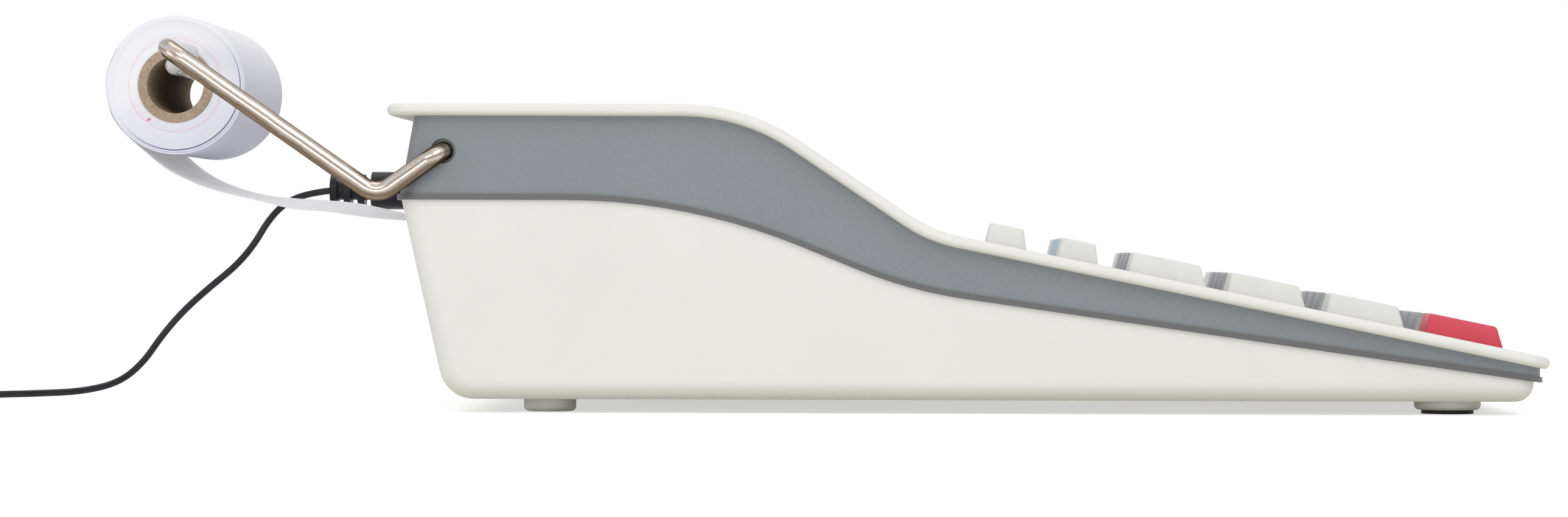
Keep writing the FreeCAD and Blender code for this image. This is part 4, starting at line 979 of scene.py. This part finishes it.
def make_roll():
    """Wound paper: uneven end faces, with a looser outer winding."""
    rings = []
    for side in (-1, 1):
        for share in (ROLL_SHARES if side < 0 else reversed(ROLL_SHARES)):
            radius = ROLL_IN + (ROLL_OUT - ROLL_IN) * share
            ring = []
            for k in range(ROLL_AROUND):
                angle = 2 * math.pi * k / ROLL_AROUND
                ripple = RIPPLE * math.sin(angle * 2 + share * 4) if RIPPLE_FROM < share < RIPPLE_TO else 0.0
                x = side * (ROLL_HALF - (face_step(radius, angle) + groove(share, angle)))
                reach = radius + ripple
                spot = Vector((x, reach * math.cos(angle), reach * math.sin(angle))) * MM
                ring.append(spot + Vector(ROLL_CENTRE))
            rings.append(ring)
    bm = bmesh.new()
    loft_ring(bm, rings)
    roll = link_mesh("wound_paper", bm, [roll_paper])
    sharp_by_angle(roll, 60)
    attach(roll, "roll")
    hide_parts("paper_roll")


# The strip's middle line: Y, Z, and how far its right edge lies above the middle
STRIP_POINTS = [
    (151.35, 77.2, 0.0), (153.2, 73.3, 0.0), (153.73, 69.4, 0.0), (152.95, 64.3, 0.0), (151.3, 60.9, 0.0),
    (148.5, 57.85, 0.0), (145.5, 55.25, 0.0), (142.4, 52.6, 0.0), (139.3, 50.5, 0.0), (136.1, 48.95, 0.0),
    (132.4, 47.5, 0.1), (126.7, 46.0, 0.2), (120.5, 45.0, 0.6), (113.0, 43.9, 1.25), (105.2, 43.2, 1.15),
    (96.0, 41.6, 0.8), (85.1, 40.2, 0.3), (74.0, 38.5, 0.1), (62.0, 37.1, 0.0),
]


def smooth_line(points, per_span):
    """Points of a curve that passes through the given points."""
    padded = [points[0] * 2 - points[1]] + points + [points[-1] * 2 - points[-2]]
    line = []
    for a, b, c, d in zip(padded, padded[1:], padded[2:], padded[3:]):
        for i in range(per_span):
            t = i / per_span
            line.append(0.5 * (
                2 * b + (c - a) * t + (2 * a - 5 * b + 4 * c - d) * t**2 + (3 * b - a - 3 * c + d) * t**3
            ))
    line.append(points[-1])
    return line


STRIP_PER_SPAN = 6
STRIP_ACROSS = 12
STRIP_THICK = 0.12


def make_strip():
    """The paper strip, which peels off the roll, dips and runs through the slot to the platen."""
    line = smooth_line([Vector((lean, y, z)) for y, z, lean in STRIP_POINTS], STRIP_PER_SPAN)
    bm = bmesh.new()
    sheets = []
    for side in (-0.5, 0.5):
        rows = []
        for i, p in enumerate(line):
            ahead = line[min(i + 1, len(line) - 1)] - line[max(i - 1, 0)]
            normal = Vector((0, -ahead.z, ahead.y)).normalized()
            row = []
            for k in range(STRIP_ACROSS + 1):
                share = 2 * k / STRIP_ACROSS - 1
                spot = Vector((share * ROLL_HALF, p.y, p.z + share * p.x)) + normal * (side * STRIP_THICK)
                row.append(bm.verts.new(spot * MM))
            rows.append(row)
        sheets.append(rows)
    for rows in sheets:
        for lower, upper in zip(rows, rows[1:]):
            for k in range(STRIP_ACROSS):
                bm.faces.new((lower[k], lower[k + 1], upper[k + 1], upper[k]))
    under, over = sheets
    for k in range(STRIP_ACROSS):
        for i in (0, -1):
            bm.faces.new((under[i][k], under[i][k + 1], over[i][k + 1], over[i][k]))
    for i in range(len(line) - 1):
        for k in (0, -1):
            bm.faces.new((under[i][k], under[i + 1][k], over[i + 1][k], over[i][k]))
    strip = link_mesh("paper_web", bm, [materials["paper"]])
    sharp_by_angle(strip, 50)
    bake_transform(strip)
    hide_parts("paper_strip")


make_roll()
make_strip()


# Tear bar, lid grip and display segments

TEAR_HALF = 38.0
TEAR_FRONT = 59.4
TEAR_BACK = 61.0
TEAR_LOW = 61.1
TEAR_ROOT = 63.3
TEETH = 50


def make_tear_bar():
    """Steel bar with a row of fine teeth along its top, half as tall at the back."""
    step = 2 * TEAR_HALF / TEETH
    crest = [(-TEAR_HALF, TEAR_ROOT)]
    for i in range(TEETH):
        crest += [(-TEAR_HALF + (i + 0.5) * step, FLAT_TOP), (-TEAR_HALF + (i + 1) * step, TEAR_ROOT)]
    bm = bmesh.new()
    rows = []
    for y, drop in ((TEAR_FRONT, 0.0), (TEAR_BACK, 0.5)):
        upper = [bm.verts.new(Vector((x, y, z - drop * (z - TEAR_ROOT))) * MM) for x, z in crest]
        lower = [bm.verts.new(Vector((x, y, TEAR_LOW)) * MM) for x, _ in crest]
        rows.append((upper, lower))
    (front_top, front_foot), (back_top, back_foot) = rows
    last = len(crest) - 1
    for i in range(last):
        bm.faces.new((front_foot[i], front_foot[i + 1], front_top[i + 1], front_top[i]))
        bm.faces.new((back_foot[i + 1], back_foot[i], back_top[i], back_top[i + 1]))
        bm.faces.new((front_top[i], front_top[i + 1], back_top[i + 1], back_top[i]))
        bm.faces.new((front_foot[i + 1], front_foot[i], back_foot[i], back_foot[i + 1]))
    for i in (0, last):
        bm.faces.new((front_foot[i], front_top[i], back_top[i], back_foot[i]))
    bar = link_mesh("tear_teeth", bm, [materials["steel"]], smooth=False)
    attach(bar, "base")
    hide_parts("tear_bar")


RIBS = 5
RIB_FIRST = 43.0
RIB_PITCH = 2.2
RIB_WIDE = 26.0
RIB_LONG = 1.3
RIB_CORNER = 0.6
RIB_LEVELS = [(-0.1, 0.0), (0.12, 0.05), (0.26, 0.22), (0.3, 0.45)]


def make_lid_grip():
    """Low grip ribs across the printer lid near its free edge."""
    bm = bmesh.new()
    for i in range(RIBS):
        middle = RIB_FIRST + RIB_PITCH * i
        rings = []
        for height, inset in RIB_LEVELS:
            wide = RIB_WIDE - 2 * inset
            deep = RIB_LONG - 2 * inset
            outline = rounded_rectangle(wide, deep, RIB_CORNER - inset, steps=5)
            rings.append([Vector((px, middle + py, FLAT_TOP + height)) * MM for px, py in outline])
        loft(bm, rings)
    grip = link_mesh("lid_grip", bm, [materials["cream_plastic"]])
    sharp_by_angle(grip, 50)
    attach(grip, "printer_lid")


CREST = Vector((0.0, 13.3, FLAT_TOP))
DISPLAY_DOWN = Vector((0.0, -math.cos(DISPLAY_TILT), -math.sin(DISPLAY_TILT)))
DISPLAY_OFF = Vector((0.0, -math.sin(DISPLAY_TILT), math.cos(DISPLAY_TILT)))
PANEL_DEPTH = 3.5
PLACES = 12
PLACE_PITCH = 7.2
PLACE_MARGIN = 1.4
PLACE_DOWN = 27.0
SLANT = 0.12
SEGMENT_HALF_THICK = 0.04
SEGMENT_HALF_WIDE = 0.42
SEGMENT_GAP = 0.3
SEGMENTS = {
    "a": ((0, 4), (4, 4)), "b": ((4, 4), (4, 0)), "c": ((4, 0), (4, -4)), "d": ((0, -4), (4, -4)),
    "e": ((0, 0), (0, -4)), "f": ((0, 4), (0, 0)), "g": ((0, 0), (4, 0)),
}
POINT = ((5.1, -4.4), (5.1, -3.1))
LIT, FAINT = 0, 1


def on_panel(x, y, height):
    """A place on the display panel: across, up from the middle of the digits, and off its surface."""
    return (CREST + Vector((x, 0, 0)) + DISPLAY_DOWN * (PLACE_DOWN - y) + DISPLAY_OFF * height) * MM


def add_segment(bm, first, last, left, lit):
    """One bar with pointed ends, between two corners of a place."""
    a = Vector(first)
    b = Vector(last)
    along = (b - a).normalized()
    a = a + along * SEGMENT_GAP
    b = b - along * SEGMENT_GAP
    point = along * SEGMENT_HALF_WIDE
    side = Vector((-along.y, along.x)) * SEGMENT_HALF_WIDE
    hexagon = [a, a + point + side, b - point + side, b, b - point - side, a + point - side]
    rings = []
    for height in (-PANEL_DEPTH - SEGMENT_HALF_THICK, -PANEL_DEPTH + SEGMENT_HALF_THICK):
        rings.append([on_panel(left + p.x + SLANT * p.y, p.y, height) for p in hexagon])
    loft(bm, rings, material=LIT if lit else FAINT)


def make_segments():
    """Twelve seven-segment places on the panel: the last shows a nought and a point, the rest are faint."""
    bm = bmesh.new()
    start = -PLACE_PITCH * PLACES / 2 + PLACE_MARGIN
    for place in range(PLACES):
        left = start + PLACE_PITCH * place
        shown = place == PLACES - 1
        for name, (first, last) in SEGMENTS.items():
            add_segment(bm, first, last, left, shown and name != "g")
        add_segment(bm, *POINT, left, shown)
    segments = link_mesh("display_segments", bm, [segment_dark, segment_faint], smooth=False)
    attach(segments, "base")


make_tear_bar()
make_lid_grip()
make_segments()


# Floor, light and world

FLOOR_HALF = 6.0
FLOOR_DROP = 0.0001
FLOOR_GLOW = 0.56
WORLD_LIGHT = 0.52
WORLD_SEEN = 1.0
AIM = (0, 0, 0.03)
LAMPS = [
    ("key_light", (-0.85, -0.6, 1.1), AIM, 0.9, 0.9, 5.4),
    ("top_light", (0.25, 0.1, 1.3), AIM, 1.0, 1.0, 3.2),
    ("fill_light", (-1.2, 0.34, 0.09), AIM, 0.6, 0.17, 1.2),
    ("side_light", (-1.0, 0.2, 0.66), AIM, 0.5, 0.2, 1.5),
    ("rear_light", (-0.5, 1.1, 0.14), (0, 0.13, 0.05), 0.6, 0.6, 1.4),
]


def seen_share(tree, low, high):
    """The high value for rays that see a surface, straight or mirrored; the low one for its light."""
    path = tree.nodes.new("ShaderNodeLightPath")
    seen = path.outputs["Is Camera Ray"]
    for ray in ("Is Glossy Ray", "Is Transmission Ray"):
        either = tree.nodes.new("ShaderNodeMath")
        either.operation = "MAXIMUM"
        tree.links.new(seen, either.inputs[0])
        tree.links.new(path.outputs[ray], either.inputs[1])
        seen = either.outputs["Value"]
    strength = tree.nodes.new("ShaderNodeMapRange")
    strength.inputs["To Min"].default_value = low
    strength.inputs["To Max"].default_value = high
    tree.links.new(seen, strength.inputs["Value"])
    return strength.outputs["Result"]


def make_stage():
    """A pale floor that is seen white and keeps the object's shadow."""
    bm = bmesh.new()
    bmesh.ops.create_grid(bm, x_segments=1, y_segments=1, size=FLOOR_HALF)
    s = Shader("floor")
    tone = s.ramp(s.noise(3.0), [(0.3, (0.86, 0.86, 0.86)), (0.7, (0.87, 0.87, 0.87))])
    s.set(Base_Color=tone, Roughness=0.9, Specular_IOR_Level=0.1)
    glow = s.add("Emission")
    s.link(seen_share(s.tree, 0.0, FLOOR_GLOW), glow.inputs["Strength"])
    total = s.add("AddShader")
    s.link(s.bsdf.outputs["BSDF"], total.inputs[0])
    s.link(glow.outputs["Emission"], total.inputs[1])
    s.link(total.outputs["Shader"], s.tree.nodes["Material Output"].inputs["Surface"])
    floor = link_mesh("floor", bm, [s.material])
    floor.location.z = -FLOOR_DROP


def make_world():
    """Even light from all round, seen as plain white."""
    world = bpy.data.worlds.new("studio")
    scene.world = world
    world.use_nodes = True
    tree = world.node_tree
    background = tree.nodes["Background"]
    background.inputs["Color"].default_value = (1, 1, 1, 1)
    tree.links.new(seen_share(tree, WORLD_LIGHT, WORLD_SEEN), background.inputs["Strength"])


def make_lamp(name, spot, target, wide, tall, power):
    """An oval area lamp that faces its target."""
    data = bpy.data.lights.new(name, "AREA")
    data.shape = "ELLIPSE"
    data.size = wide
    data.size_y = tall
    data.energy = power
    lamp = bpy.data.objects.new(name, data)
    scene.collection.objects.link(lamp)
    lamp.location = spot
    lamp.rotation_euler = (Vector(target) - Vector(spot)).to_track_quat("-Z", "Y").to_euler()


make_stage()
make_world()
for lamp in LAMPS:
    make_lamp(*lamp)

scene.view_settings.view_transform = "Standard"
